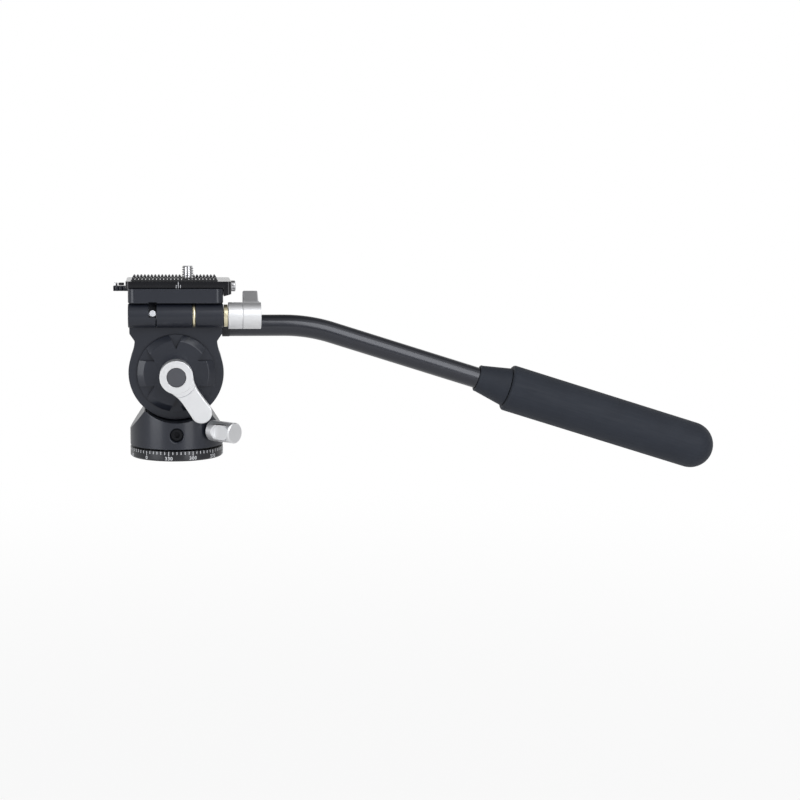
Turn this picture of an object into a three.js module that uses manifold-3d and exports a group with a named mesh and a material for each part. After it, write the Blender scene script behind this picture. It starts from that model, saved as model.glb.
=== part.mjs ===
// Fluid video head: a pan base with a degree scale, a tilting yoke with a lock lever, a bent handle,
// and a quick release clamp with its camera plate, on a hinge that flips a quarter turn.
// Millimetres. Origin at the bottom centre of the base, +Z up, +X towards the handle, +Y away from the dial.

import * as THREE from 'three';
import { mergeVertices } from 'three/addons/utils/BufferGeometryUtils.js';
import Module from 'manifold-3d';

const wasm = await Module();
wasm.setup();

// Fits, shared by all pieces
const seat = 0.3;
const overrun = 2;
const weldDistance = 0.0001;
const quarter = Math.PI / 2;

// Facets of round pieces
const fineSteps = 48;
const gripSteps = 32;
const midSteps = 24;
const smallSteps = 16;
const arcSteps = 12;
const cornerSteps = 4;
const domeSteps = 7;

// Base ring, spindle and threaded insert
const baseRadius = 25;
const ringHeight = 5.8;
const ringEdge = 0.7;
const ringBevel = 0.25;
const ringLip = 2.4;
const ringMouth = 5.8;
const neckRadius = 12;
const flangeRadius = 17;
const flangeThickness = 7;
const insertRadius = 6.4;
const insertHeight = 7.6;
const threadRadius = 4.3;
const insertCover = 0.5;
const baseScrewCount = 3;
const baseScrewRadius = 1.5;
const baseScrewHead = 2.7;
const baseScrewLength = 6.6;
const baseScrewSunk = 0.2;

// Pan body: bore, cradle, flanks and upright
const retainerHeight = 3;
const retainerRadius = 20;
const washerThickness = 0.8;
const washerBore = 9;
const washerRadius = 16.4;
const roofThickness = 2.5;
const crestHalfWidth = 16.8;
const crestRound = 1.3;
const flankFoot = 15.3;
const bodyBevel = 0.4;
const uprightThickness = 11;
const uprightHalfWidth = 13;
const uprightRoot = 1;

// Drag screw in the front hole
const dragHoleRadius = 3.45;
const dragHoleHeight = 14;
const dragHoleChamfer = 0.9;
const dragPadLength = 1.7;
const dragScrewLength = 3.6;
const dragSocketRadius = 1.7;
const dragSocketDepth = 2.2;
const hexSides = 6;

// Pan lock, at a quarter between the front and the handle
const lockAngle = -Math.PI / 4;
const lockHeight = 15.9;
const studRadius = 2.5;
const shoeLength = 3.2;
const knobGap = 1.5;
const knobLength = 17;
const knobRadius = 5.5;
const knobBevel = 0.7;
const knobFlat = 3.9;
const knobBarrel = 5.7;
const knobCutter = 4.2;
const knobFlange = 2;
const knobWall = 4;

// Tilt axle, bushes and friction discs
const axleRadius = 3;
const axleHeadRadius = 6.5;
const axleHeadHeight = 2.1;
const bushWall = 1.9;
const frictionThickness = 0.9;
const frictionRadius = 12.4;

// Tilt housing: cheeks, neck and block, measured from the tilt axis
const cheekRadius = 25.3;
const cheekOuter = 14.5;
const neckHalfWidth = 21.9;
const neckHeight = 14.8;
const neckJoinAngle = THREE.MathUtils.degToRad(22);
const neckFlareHeight = 17;
const blockHalfWidth = 24.6;
const blockFoot = 21;
const slotHeadroom = 1.6;

// Dial cover with its pockets
const dialRadius = 20.7;
const dialFaceRadius = 17.35;
const dialRim = 0.8;
const dialRise = 2.7;
const pocketCount = 6;
const pocketTip = 13.1;
const pocketHalfWidth = 3.95;
const coverRecess = 7.2;

// Tilt lever and its collar
const tiltLever = {
  hub: 8.75, tip: 5.6, reach: 22.9, waist: 5.3, step: 10.7, thickness: 9.7, arm: 6.8, cap: 5.2,
};
const tiltLeverAngle = THREE.MathUtils.degToRad(-55.6);
const tiltCollarRadius = 7.9;
const tiltCollarLength = 8.5;
const spigotRadius = 4.8;
const spigotLength = 5;
const leverStep = 0.5;
const leverBevel = 0.5;
const leverFront = 0.5;
const capHeight = 3.4;
const capBevel = 0.3;
const capProud = 0.2;
const waistShare = 0.61;
const hubTangent = Math.PI / 3;

// Flip hinge, measured from the tilt axis
const hingeForward = 19;
const hingeHeight = 31;
const knuckleRadius = 6.4;
const pocketRadius = 7;
const middleLeft = 10.1;
const middleRight = 8.6;
const hingePinRadius = 2.6;
const hingeHeadRadius = 4.2;
const hingeHeadLength = 1.8;
const stopPinRadius = 1.75;
const stopPinAngle = THREE.MathUtils.degToRad(165);
const flipTravel = quarter;
const stopSlotCuts = 9;
const brassRadius = 5.9;
const brassThickness = 1.2;
const brassCollarLength = 2;

// Flip lever and its collar
const flipLever = {
  hub: 7.1,
  tip: 4.5,
  reach: 17.5,
  waist: 4.4,
  step: 8.6,
  thickness: 9.5,
  arm: 8.6,
  cap: 4.2,
};
const flipLeverAngle = THREE.MathUtils.degToRad(26);
const flipCollarLength = 7.6;

// Handle: stud, collar, bent tube, plug and grip, measured from the tilt axis
const handleHeight = 24.1;
const tubeRadius = 5.85;
const tubeWall = 1.3;
const tubeSides = 16;
const bendSteps = 7;
const bendRadius = 87;
const bendAngle = THREE.MathUtils.degToRad(17.5);
const bendVertex = 71.75;
const handleStudRadius = 4;
const handleStudInside = 11;
const handleStudOutside = 12;
const handleCollarRadius = 6;
const handleCollarLength = 4;
const gripStart = 98.6;
const gripCollarLength = 17.5;
const gripCollarFront = 7.45;
const gripCollarRear = 10.8;
const gripCollarLip = 1.2;
const gripRadius = 13;
const gripShoulder = 1.6;
const gripBody = 112;
const tubeInGrip = 70;
const plugLength = 8;

// Quick release clamp, measured from the tilt axis or, crosswise, from the middle of the head
const clampHalfLength = 25;
const clampNear = 23;
const clampHeight = 7.5;
const clampCorner = 4;
const channelDepth = 4.1;
const jawInner = 14.3;
const jawOuter = 22.6;
const webFront = 4;
const guideSpacing = 18;
const guideRadius = 1.5;
const guideHeight = 1.7;
const guideInBase = 8;
const guideInJaw = 5.6;
const drawRodAt = 8;
const drawRodRadius = 1.5;
const drawRodInBase = 12;
const eyeRadius = 3.2;
const eyeHeight = 3.2;

// Clamp lever on the far side
const camReach = 6.3;
const camEase = 1.25;
const camTravel = THREE.MathUtils.degToRad(125);
const camSteps = 12;
const leverThickness = 2.8;
const leverArmWidth = 3.8;
const leverTabStart = 27.4;
const leverTabEnd = 34.1;
const leverTabWidth = 5.6;
const tabRibs = 3;
const tabRibRadius = 0.55;
const pivotRadius = 1.1;
const pivotHeadRadius = 2.4;
const pivotHeadHeight = 0.8;
const buttonRadius = 0.95;
const buttonRise = 1.9;
const buttonSunk = 0.7;
const buttonTravel = 1;
const buttonAt = 32.7;
const latchLength = 3.1;
const latchWidth = 2.2;
const latchHeight = 1.4;
const latchAt = 29.7;

// Camera plate, its dovetail and hook
const plateLeft = 26.2;
const plateRight = 29.4;
const plateHalfWidth = 19.5;
const rimHeight = 3.6;
const tailHalfWidth = 18.5;
const tailEdge = 0.8;
const hookThickness = 4.1;
const hookDrop = 4.3;
const hookSlant = 1.1;
const plateCorner = 2;
const screwSlotLeft = 13;
const screwSlotRight = 13;

// Rubber strips
const stripLeft = 23.2;
const stripRight = 22.1;
const stripInner = 6.6;
const stripOuter = 16.6;
const stripBase = 0.9;
const toothCount = 24;
const toothHeight = 1.1;
const stripSunk = 0.5;

// Camera screw, its clip and the stop screw on the hook
const cameraScrewAt = 6.6;
const cameraScrewRadius = 3.175;
const cameraScrewHead = 5.6;
const cameraScrewHeadHeight = 2;
const cameraScrewProud = 5.6;
const cameraScrewBevel = 0.5;
const coinSlotWidth = 1.4;
const coinSlotDepth = 1;
const clipRadius = 4.6;
const clipThickness = 0.5;
const stopScrewRadius = 1.6;
const stopScrewLength = 6;
const stopHeadRadius = 3;
const stopHeadHeight = 2.5;
const stopHeadBevel = 0.4;

// Heights and depths that follow from the sizes above
const spindleBottom = ringLip + seat;
const insertBottom = spindleBottom + insertCover;
const insertTop = insertBottom + insertHeight;
const bodyBottom = ringHeight + seat;
const retainerBottom = bodyBottom + seat;
const retainerTop = retainerBottom + retainerHeight;
const flangeBottom = retainerTop + seat;
const flangeTop = flangeBottom + flangeThickness;
const washerBottom = flangeTop + seat;
const boreTop = washerBottom + washerThickness + seat;
const boreRadius = flangeRadius + seat;
const cradleRadius = cheekRadius + 2 * seat;
const tiltAxisHeight = boreTop + roofThickness + cradleRadius;
const tubeRoot = blockHalfWidth + handleCollarLength + 2 * seat;
const knobStart = baseRadius + knobGap;
const baseScrewCircle = (ringMouth + neckRadius) / 2;
const uprightSide = uprightThickness / 2;
const cheekInner = uprightSide + frictionThickness + 2 * seat;
const slotTop = uprightHalfWidth + slotHeadroom;
const coverInner = cheekOuter + seat;
const coverRimFace = coverInner + dialRim;
const coverFace = coverRimFace + dialRise;
const collarStart = coverFace + seat;
const leverStart = collarStart + tiltCollarLength + seat;
const blockTop = hingeHeight + knuckleRadius;
const rightKnuckle = middleRight + brassThickness + 2 * seat;
const brassCollarStart = clampHalfLength + seat;
const flipCollarStart = brassCollarStart + brassCollarLength + seat;
const flipLeverStart = flipCollarStart + flipCollarLength + seat;
const clampBottom = blockTop + seat;
const clampTop = clampBottom + clampHeight;
const channelFloor = clampTop - channelDepth;
const plateBottom = channelFloor + seat;
const rimBottom = clampTop + seat;
const rimTop = rimBottom + rimHeight;
const tailNeck = tailHalfWidth - (rimBottom - plateBottom - tailEdge);
const undercut = seat * Math.SQRT2;
const pivotY = jawOuter + seat + camReach;
const leverBottom = clampBottom + eyeHeight + seat;
const leverTop = leverBottom + leverThickness;
const screwHeadBottom = plateBottom + seat;
const screwHeadTop = screwHeadBottom + cameraScrewHeadHeight;
const clipBottom = screwHeadTop + seat;
const slotCeiling = clipBottom + clipThickness + seat;

// A closed three.js geometry as a solid; faces that fall together on an axis are left out.
function solidOf(geometry) {
  const bare = geometry.clone();
  bare.deleteAttribute('normal');
  bare.deleteAttribute('uv');
  const merged = mergeVertices(bare, weldDistance);
  const corners = merged.index.array;
  const kept = [];
  for (let i = 0; i < corners.length; i += 3) {
    const [a, b, c] = [corners[i], corners[i + 1], corners[i + 2]];
    if (a !== b && b !== c && c !== a) kept.push(a, b, c);
  }
  const vertProperties = merged.attributes.position.array;
  return new wasm.Manifold(new wasm.Mesh({ numProp: 3, vertProperties, triVerts: new Uint32Array(kept) }));
}

// A solid back as a geometry.
function geometryOf(solid) {
  const mesh = solid.getMesh();
  const geometry = new THREE.BufferGeometry();
  geometry.setAttribute('position', new THREE.BufferAttribute(new Float32Array(mesh.vertProperties), 3));
  geometry.setIndex(new THREE.BufferAttribute(new Uint32Array(mesh.triVerts), 1));
  geometry.computeVertexNormals();
  return geometry;
}

const join = (...solids) => solids.reduce((whole, next) => whole.add(next));
const cut = (body, ...tools) => tools.reduce((rest, tool) => rest.subtract(tool), body);
const within = (body, ...bounds) => bounds.reduce((rest, bound) => rest.intersect(bound), body);

// Turns of a lathe's own axis, +Y, to each axis of the part.
const latheTurns = {
  x: new THREE.Matrix4().makeRotationZ(-quarter),
  y: new THREE.Matrix4(),
  z: new THREE.Matrix4().makeRotationX(quarter),
};

// A turned solid from [radius, height] points, run from the low end round the outside to the high end.
function turned(points, { axis = 'z', steps = fineSteps, at = [0, 0, 0] } = {}) {
  const closed = points[0][0] === 0 && points[points.length - 1][0] === 0 ? points : [...points, points[0]];
  const profile = closed.map(([radius, height]) => new THREE.Vector2(radius, height));
  const geometry = new THREE.LatheGeometry(profile, steps);
  geometry.applyMatrix4(latheTurns[axis]);
  geometry.translate(...at);
  return solidOf(geometry);
}

const rod = (radius, [low, high], place) => turned([[0, low], [radius, low], [radius, high], [0, high]], place);
const tube = (bore, radius, [low, high], place) =>
  turned([[bore, low], [radius, low], [radius, high], [bore, high]], place);

// A block between two limits on each axis.
function block([left, right], [near, far], [low, high]) {
  const geometry = new THREE.BoxGeometry(right - left, far - near, high - low);
  geometry.translate((left + right) / 2, (near + far) / 2, (low + high) / 2);
  return solidOf(geometry);
}

// How an outline drawn flat stands in the part: in plan, as seen from the front, or as seen from the right.
const drawings = {
  plan: new THREE.Matrix4(),
  front: new THREE.Matrix4().makeRotationX(quarter),
  side: new THREE.Matrix4().makeBasis(
    new THREE.Vector3(0, 1, 0), new THREE.Vector3(0, 0, 1), new THREE.Vector3(1, 0, 0)),
};

// An outline drawn out between two places along the axis that it faces.
function drawn(shape, [low, high], view, { bevel = 0, at = [0, 0, 0], curveSegments = cornerSteps } = {}) {
  const geometry = new THREE.ExtrudeGeometry(shape, {
    depth: high - low - 2 * bevel,
    curveSegments,
    bevelEnabled: bevel > 0,
    bevelSize: bevel,
    bevelThickness: bevel,
    bevelOffset: -bevel,
    bevelSegments: 1,
  });
  geometry.translate(0, 0, bevel);
  geometry.applyMatrix4(drawings[view]);
  const start = { plan: [0, 0, low], front: [0, high, 0], side: [low, 0, 0] }[view];
  geometry.translate(...start);
  geometry.translate(...at);
  return solidOf(geometry);
}

const outline = (points) => new THREE.Shape(points.map(([x, y]) => new THREE.Vector2(x, y)));

// A rectangle with round corners, as an outline.
function roundedRectangle([left, right], [low, high], radius) {
  const shape = new THREE.Shape();
  shape.moveTo(left + radius, low);
  shape.lineTo(right - radius, low);
  shape.absarc(right - radius, low + radius, radius, -quarter, 0, false);
  shape.lineTo(right, high - radius);
  shape.absarc(right - radius, high - radius, radius, 0, quarter, false);
  shape.lineTo(left + radius, high);
  shape.absarc(left + radius, high - radius, radius, quarter, 2 * quarter, false);
  shape.lineTo(left, low + radius);
  shape.absarc(left + radius, low + radius, radius, 2 * quarter, 3 * quarter, false);
  return shape;
}

// A slot with round ends along X, as an outline.
function slotOutline([left, right], halfWidth) {
  const shape = new THREE.Shape();
  shape.moveTo(left, -halfWidth);
  shape.lineTo(right, -halfWidth);
  shape.absarc(right, 0, halfWidth, -quarter, quarter, false);
  shape.lineTo(left, halfWidth);
  shape.absarc(left, 0, halfWidth, quarter, 3 * quarter, false);
  return shape;
}

// Materials
const finish = (color, roughness, metalness) => () =>
  new THREE.MeshStandardMaterial({ color, roughness, metalness });
const blackAnodised = finish(0x33343a, 0.45, 0.6);
const scaleBlack = finish(0x303136, 0.4, 0.6);
const satinSilver = finish(0xd4d6da, 0.3, 0.8);
const chrome = finish(0xe2e2e6, 0.12, 1);
const steel = finish(0x8a8c90, 0.3, 0.9);
const brass = finish(0xc9b988, 0.3, 0.9);
const greyPlastic = finish(0x4e4f55, 0.55, 0);
const blackPlastic = finish(0x2b2b2f, 0.5, 0);
const whitePlastic = finish(0xdcdcd6, 0.5, 0);
const rubber = finish(0x2e3035, 0.85, 0);

function piece(parent, name, solid, material) {
  const mesh = new THREE.Mesh(geometryOf(solid), material());
  mesh.name = name;
  parent.add(mesh);
}

// Base: the ring that stands on the tripod, and the spindle that it carries
function baseRing() {
  const profile = [
    [ringMouth, 0],
    [baseRadius - ringEdge, 0],
    [baseRadius, ringEdge],
    [baseRadius, ringHeight - ringBevel],
    [baseRadius - ringBevel, ringHeight],
    [neckRadius + seat, ringHeight],
    [neckRadius + seat, ringLip],
    [ringMouth, ringLip],
  ];
  return cut(turned(profile), ...baseScrewPlaces().map((at) => baseScrew(at, seat, overrun)));
}

function baseScrewPlaces() {
  return Array.from({ length: baseScrewCount }, (_, i) => {
    const angle = quarter + (i * 4 * quarter) / baseScrewCount;
    return [baseScrewCircle * Math.cos(angle), baseScrewCircle * Math.sin(angle), 0];
  });
}

// A countersunk screw, or with clearance the hole for it.
function baseScrew(at, clearance = 0, deeper = 0) {
  const head = baseScrewHead + clearance;
  const shank = baseScrewRadius + clearance;
  const low = baseScrewSunk - clearance;
  const neck = baseScrewSunk + baseScrewHead - baseScrewRadius + clearance * (Math.SQRT2 - 1);
  const top = baseScrewSunk + baseScrewLength + clearance;
  const points = [[0, low - deeper], [head, low - deeper], [head, low], [shank, neck], [shank, top], [0, top]];
  return turned(deeper > 0 ? points : [[0, low], ...points.slice(2)], { steps: smallSteps, at });
}

function panSpindle() {
  const bore = insertRadius + seat;
  const body = turned([
    [bore, spindleBottom],
    [neckRadius, spindleBottom],
    [neckRadius, flangeBottom],
    [flangeRadius, flangeBottom],
    [flangeRadius, flangeTop],
    [0, flangeTop],
    [0, insertTop + seat],
    [bore, insertTop + seat],
    [bore, spindleBottom],
  ], { steps: midSteps });
  return cut(body, ...baseScrewPlaces().map((at) => baseScrew(at, seat, overrun)));
}

function addBase(parent) {
  piece(parent, 'base_ring', baseRing(), scaleBlack);
  piece(parent, 'pan_spindle', panSpindle(), steel);
  const insert = tube(threadRadius, insertRadius, [insertBottom, insertTop], { steps: midSteps });
  piece(parent, 'thread_insert', insert, steel);
  baseScrewPlaces().forEach((at, i) => piece(parent, `base_screw_${i + 1}`, baseScrew(at), steel));
}

// Pan body: a round housing whose top is cut by the cradle and by two flanks, with a central upright
function cradleOutline() {
  const angle = Math.acos(crestHalfWidth / cradleRadius);
  const crestHeight = tiltAxisHeight - cradleRadius * Math.sin(angle);
  const crest = new THREE.Vector2(crestHalfWidth, crestHeight);
  const foot = new THREE.Vector2(baseRadius, flankFoot);
  const down = foot.clone().sub(crest).normalize();
  const flankEnd = foot.clone().addScaledVector(down, overrun);
  const flankTop = crest.clone().addScaledVector(down, crestRound);
  const arcAngle = angle + crestRound / cradleRadius;
  const arc = new THREE.Vector2(
    cradleRadius * Math.cos(arcAngle), tiltAxisHeight - cradleRadius * Math.sin(arcAngle));
  const shape = new THREE.Shape();
  shape.moveTo(-flankEnd.x, bodyBottom - overrun);
  shape.lineTo(flankEnd.x, bodyBottom - overrun);
  shape.lineTo(flankEnd.x, flankEnd.y);
  shape.lineTo(flankTop.x, flankTop.y);
  shape.quadraticCurveTo(crest.x, crest.y, arc.x, arc.y);
  shape.absarc(0, tiltAxisHeight, cradleRadius, -arcAngle, arcAngle - 2 * quarter, true);
  shape.quadraticCurveTo(-crest.x, crest.y, -flankTop.x, flankTop.y);
  shape.lineTo(-flankEnd.x, flankEnd.y);
  return shape;
}

function uprightOutline() {
  const shape = new THREE.Shape();
  shape.moveTo(-uprightHalfWidth, tiltAxisHeight - cradleRadius - uprightRoot);
  shape.lineTo(uprightHalfWidth, tiltAxisHeight - cradleRadius - uprightRoot);
  shape.lineTo(uprightHalfWidth, tiltAxisHeight);
  shape.absarc(0, tiltAxisHeight, uprightHalfWidth, 0, 2 * quarter, false);
  return shape;
}

function panBody() {
  const reach = baseRadius + overrun;
  const round = turned([
    [0, bodyBottom],
    [baseRadius - bodyBevel, bodyBottom],
    [baseRadius, bodyBottom + bodyBevel],
    [baseRadius, tiltAxisHeight],
    [0, tiltAxisHeight],
  ]);
  const housing = within(round, drawn(cradleOutline(), [-reach, reach], 'front', { curveSegments: arcSteps }));
  const upright = drawn(uprightOutline(), [-uprightSide, uprightSide], 'front', { curveSegments: arcSteps });
  const chamferRun = dragHoleRadius + dragHoleChamfer + overrun;
  const frontHole = [0, 0, dragHoleHeight];
  return cut(
    join(housing, upright),
    rod(boreRadius, [bodyBottom - overrun, boreTop], { steps: midSteps }),
    rod(retainerRadius + seat, [bodyBottom - overrun, flangeBottom], { steps: midSteps }),
    rod(dragHoleRadius, [-reach, -flangeRadius], { axis: 'y', steps: midSteps, at: frontHole }),
    turned([
      [0, -baseRadius - overrun],
      [chamferRun, -baseRadius - overrun],
      [dragHoleRadius, -baseRadius + dragHoleChamfer],
      [0, -baseRadius + dragHoleChamfer],
    ], { axis: 'y', steps: midSteps, at: frontHole }),
    lockBore(reach),
    rod(axleRadius + seat, [-uprightSide - overrun, uprightSide + overrun],
      { axis: 'y', steps: midSteps, at: [0, 0, tiltAxisHeight] }),
  );
}

// The bore of the pan lock, from the spindle out through the wall.
function lockBore(reach) {
  const radius = studRadius + seat;
  const geometry = new THREE.CylinderGeometry(radius, radius, reach - flangeRadius, midSteps);
  geometry.applyMatrix4(latheTurns.x);
  geometry.translate((reach + flangeRadius) / 2, 0, 0);
  geometry.rotateZ(lockAngle);
  geometry.translate(0, 0, lockHeight);
  return solidOf(geometry);
}

function dragScrew() {
  const start = flangeRadius + 2 * seat + dragPadLength;
  const end = start + dragScrewLength;
  const at = [0, 0, dragHoleHeight];
  const body = rod(dragHoleRadius - seat, [-end, -start], { axis: 'y', steps: midSteps, at });
  const socketSpan = [-end - overrun, -end + dragSocketDepth];
  const socket = rod(dragSocketRadius, socketSpan, { axis: 'y', steps: hexSides, at });
  return cut(body, socket);
}

function addPanBody(parent) {
  piece(parent, 'pan_body', panBody(), blackAnodised);
  piece(parent, 'pan_retaining_ring',
    tube(neckRadius + seat, retainerRadius, [retainerBottom, retainerTop], { steps: midSteps }), steel);
  const washerSpan = [washerBottom, washerBottom + washerThickness];
  const washer = tube(washerBore, washerRadius, washerSpan, { steps: midSteps });
  piece(parent, 'pan_thrust_washer', washer, whitePlastic);
  const padStart = flangeRadius + seat;
  const pad = rod(dragHoleRadius - seat, [-padStart - dragPadLength, -padStart],
    { axis: 'y', steps: smallSteps, at: [0, 0, dragHoleHeight] });
  piece(parent, 'pan_drag_pad', pad, whitePlastic);
  piece(parent, 'pan_drag_screw', dragScrew(), steel);
  const head = [cheekOuter + seat, cheekOuter + seat + axleHeadHeight];
  const axleEnd = leverStart + spigotLength - seat;
  const axle = turned([
    [0, -axleEnd], [axleRadius, -axleEnd], [axleRadius, head[0]],
    [axleHeadRadius, head[0]], [axleHeadRadius, head[1]], [0, head[1]],
  ], { axis: 'y', steps: smallSteps, at: [0, 0, tiltAxisHeight] });
  piece(parent, 'tilt_axle', axle, steel);
}

// Pan lock, modelled along +X and turned to its place
function panLockKnob() {
  const end = knobStart + knobLength;
  const body = turned([
    [0, knobStart], [knobRadius - knobBevel, knobStart], [knobRadius, knobStart + knobBevel],
    [knobRadius, end - knobBevel], [knobRadius - knobBevel, end], [0, end],
  ], { axis: 'x', steps: midSteps });
  const flatFrom = knobStart + knobBarrel + knobCutter;
  const flatTo = end - knobFlange - knobCutter;
  const milled = slotOutline([flatFrom, flatTo], knobCutter);
  const bore = rod(studRadius + seat, [knobStart - overrun, end - knobWall], { axis: 'x', steps: midSteps });
  const outside = knobRadius + overrun;
  const flats = [[knobFlat, outside], [-outside, -knobFlat]].map((span) => drawn(milled, span, 'front'));
  return cut(body, bore, ...flats);
}

function addPanLock(parent) {
  const lock = new THREE.Group();
  lock.position.z = lockHeight;
  lock.rotation.z = lockAngle;
  parent.add(lock);
  const shoeStart = flangeRadius + seat;
  const studStart = shoeStart + shoeLength + seat;
  const studEnd = knobStart + knobLength - knobWall - seat;
  const place = { axis: 'x', steps: smallSteps };
  piece(lock, 'pan_brake_shoe', rod(studRadius, [shoeStart, shoeStart + shoeLength], place), brass);
  piece(lock, 'pan_lock_stud', rod(studRadius, [studStart, studEnd], place), steel);
  piece(lock, 'pan_lock_knob', panLockKnob(), satinSilver);
}

// Tilt housing, measured from the tilt axis
function housingOutline() {
  const flare = new THREE.Vector2(Math.cos(neckJoinAngle), Math.sin(neckJoinAngle)).multiplyScalar(cheekRadius);
  const shape = new THREE.Shape();
  shape.moveTo(blockHalfWidth, blockTop);
  shape.lineTo(-blockHalfWidth, blockTop);
  shape.lineTo(-blockHalfWidth, blockFoot);
  shape.lineTo(-neckHalfWidth, neckFlareHeight);
  shape.quadraticCurveTo(-neckHalfWidth, neckHeight, -flare.x, flare.y);
  shape.absarc(0, 0, cheekRadius, 2 * quarter - neckJoinAngle, neckJoinAngle, false);
  shape.quadraticCurveTo(neckHalfWidth, neckHeight, neckHalfWidth, neckFlareHeight);
  shape.lineTo(blockHalfWidth, blockFoot);
  return shape;
}

function tiltHousing() {
  const hinge = [0, -hingeForward, hingeHeight];
  const wide = blockHalfWidth + overrun;
  const along = { axis: 'x', steps: midSteps, at: hinge };
  const bushBore = axleRadius + seat + bushWall + seat;
  const solid = drawn(housingOutline(), [-cheekOuter, cheekOuter], 'front', { curveSegments: arcSteps });
  const hollow = cut(
    solid,
    block([-wide, wide], [-cheekInner, cheekInner], [-cheekRadius - overrun, slotTop]),
    rod(bushBore, [-cheekOuter - overrun, cheekOuter + overrun], { axis: 'y', steps: midSteps }),
    rod(pocketRadius, [-wide, -middleLeft], along),
    rod(pocketRadius, [middleRight, wide], along),
    rod(handleStudRadius + seat, [blockHalfWidth - handleStudInside - seat, wide],
      { axis: 'x', steps: midSteps, at: [0, 0, handleHeight] }),
  );
  const knuckle = rod(knuckleRadius, [-middleLeft, middleRight], along);
  const web = block([-middleLeft, middleRight], [-hingeForward, -cheekOuter + overrun],
    [hingeHeight - knuckleRadius, hingeHeight + knuckleRadius]);
  return cut(join(hollow, knuckle, web), rod(hingePinRadius + seat, [-wide, wide], along));
}

// The round cover of a cheek, facing the viewer; pockets open at its rim.
function cheekCover(side, bore) {
  const face = side * coverFace;
  const rim = side * coverRimFace;
  const back = side * coverInner;
  const profile = [[0, back], [dialRadius, back], [dialRadius, rim], [dialFaceRadius, face], [0, face]];
  const body = turned(side > 0 ? profile : profile.reverse(), { axis: 'y' });
  const depth = side > 0 ? [rim, face + overrun] : [face - overrun, rim];
  const slope = pocketHalfWidth / (dialRadius - pocketTip);
  const reach = dialRadius + overrun;
  const pocket = outline([
    [pocketTip, 0], [reach, -slope * (reach - pocketTip)], [reach, slope * (reach - pocketTip)],
  ]);
  const pockets = Array.from({ length: pocketCount }, (_, i) => {
    const turn = ((i + 0.5) * 4 * quarter) / pocketCount;
    const geometry = new THREE.ExtrudeGeometry(pocket, { depth: depth[1] - depth[0], bevelEnabled: false });
    geometry.rotateZ(turn);
    geometry.applyMatrix4(drawings.front);
    geometry.translate(0, depth[1], 0);
    return solidOf(geometry);
  });
  return cut(body, ...pockets, bore);
}

// A place on the handle's straight end: so far past the bend's corner, so far from the centre line.
function alongHandle(distance) {
  return new THREE.Vector3(
    bendVertex + distance * Math.cos(bendAngle), 0, handleHeight - distance * Math.sin(bendAngle));
}

// The middle line of the tube: straight out of the block, round the bend, and straight on into the grip.
// Each straight part is one step of the line, and the bend takes the steps between them.
class HandleLine extends THREE.Curve {
  constructor() {
    super();
    const tangent = bendRadius * Math.tan(bendAngle / 2);
    this.root = new THREE.Vector3(tubeRoot, 0, handleHeight);
    this.bendStart = new THREE.Vector3(bendVertex - tangent, 0, handleHeight);
    this.bendEnd = alongHandle(tangent);
    this.end = alongHandle(gripStart + tubeInGrip);
    this.steps = bendSteps + 2;
  }

  getPoint(share) {
    const step = share * this.steps;
    if (step <= 1) return new THREE.Vector3().lerpVectors(this.root, this.bendStart, step);
    const last = this.steps - 1;
    if (step >= last) return new THREE.Vector3().lerpVectors(this.bendEnd, this.end, step - last);
    const angle = (bendAngle * (step - 1)) / bendSteps;
    const centre = this.bendStart.z - bendRadius;
    return new THREE.Vector3(
      this.bendStart.x + bendRadius * Math.sin(angle), 0, centre + bendRadius * Math.cos(angle));
  }

  getPointAt(share) {
    return this.getPoint(share);
  }

  getTangentAt(share) {
    return this.getTangent(share);
  }
}

function handleTube() {
  const circle = (radius) => Array.from({ length: tubeSides }, (_, i) => {
    const angle = (i * 4 * quarter) / tubeSides;
    return new THREE.Vector2(radius * Math.cos(angle), radius * Math.sin(angle));
  });
  const section = new THREE.Shape(circle(tubeRadius));
  section.holes.push(new THREE.Path(circle(tubeRadius - tubeWall).reverse()));
  const path = new HandleLine();
  const sweep = { steps: path.steps, bevelEnabled: false, extrudePath: path };
  return solidOf(new THREE.ExtrudeGeometry(section, sweep));
}

function gripSleeve() {
  const start = gripCollarLength + seat;
  const bore = tubeRadius + seat;
  const boreEnd = tubeInGrip + plugLength + seat;
  const end = gripCollarLength + gripBody;
  const dome = Array.from({ length: domeSteps }, (_, i) => {
    const angle = (quarter * i) / domeSteps;
    return [gripRadius * Math.cos(angle), end + gripRadius * Math.sin(angle)];
  });
  return turned([
    [bore, start], [gripRadius - gripShoulder, start],
    [gripRadius - gripShoulder * (1 - Math.SQRT1_2), start + gripShoulder * (1 - Math.SQRT1_2)],
    [gripRadius, start + gripShoulder],
    ...dome, [0, end + gripRadius], [0, boreEnd], [bore, boreEnd], [bore, start],
  ], { steps: gripSteps });
}

function gripCollar() {
  const bore = tubeRadius + seat;
  return turned([
    [bore, 0], [gripCollarFront, 0], [gripCollarFront, gripCollarLip], [gripCollarRear, gripCollarLength],
    [bore, gripCollarLength],
  ], { steps: gripSteps });
}

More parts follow.
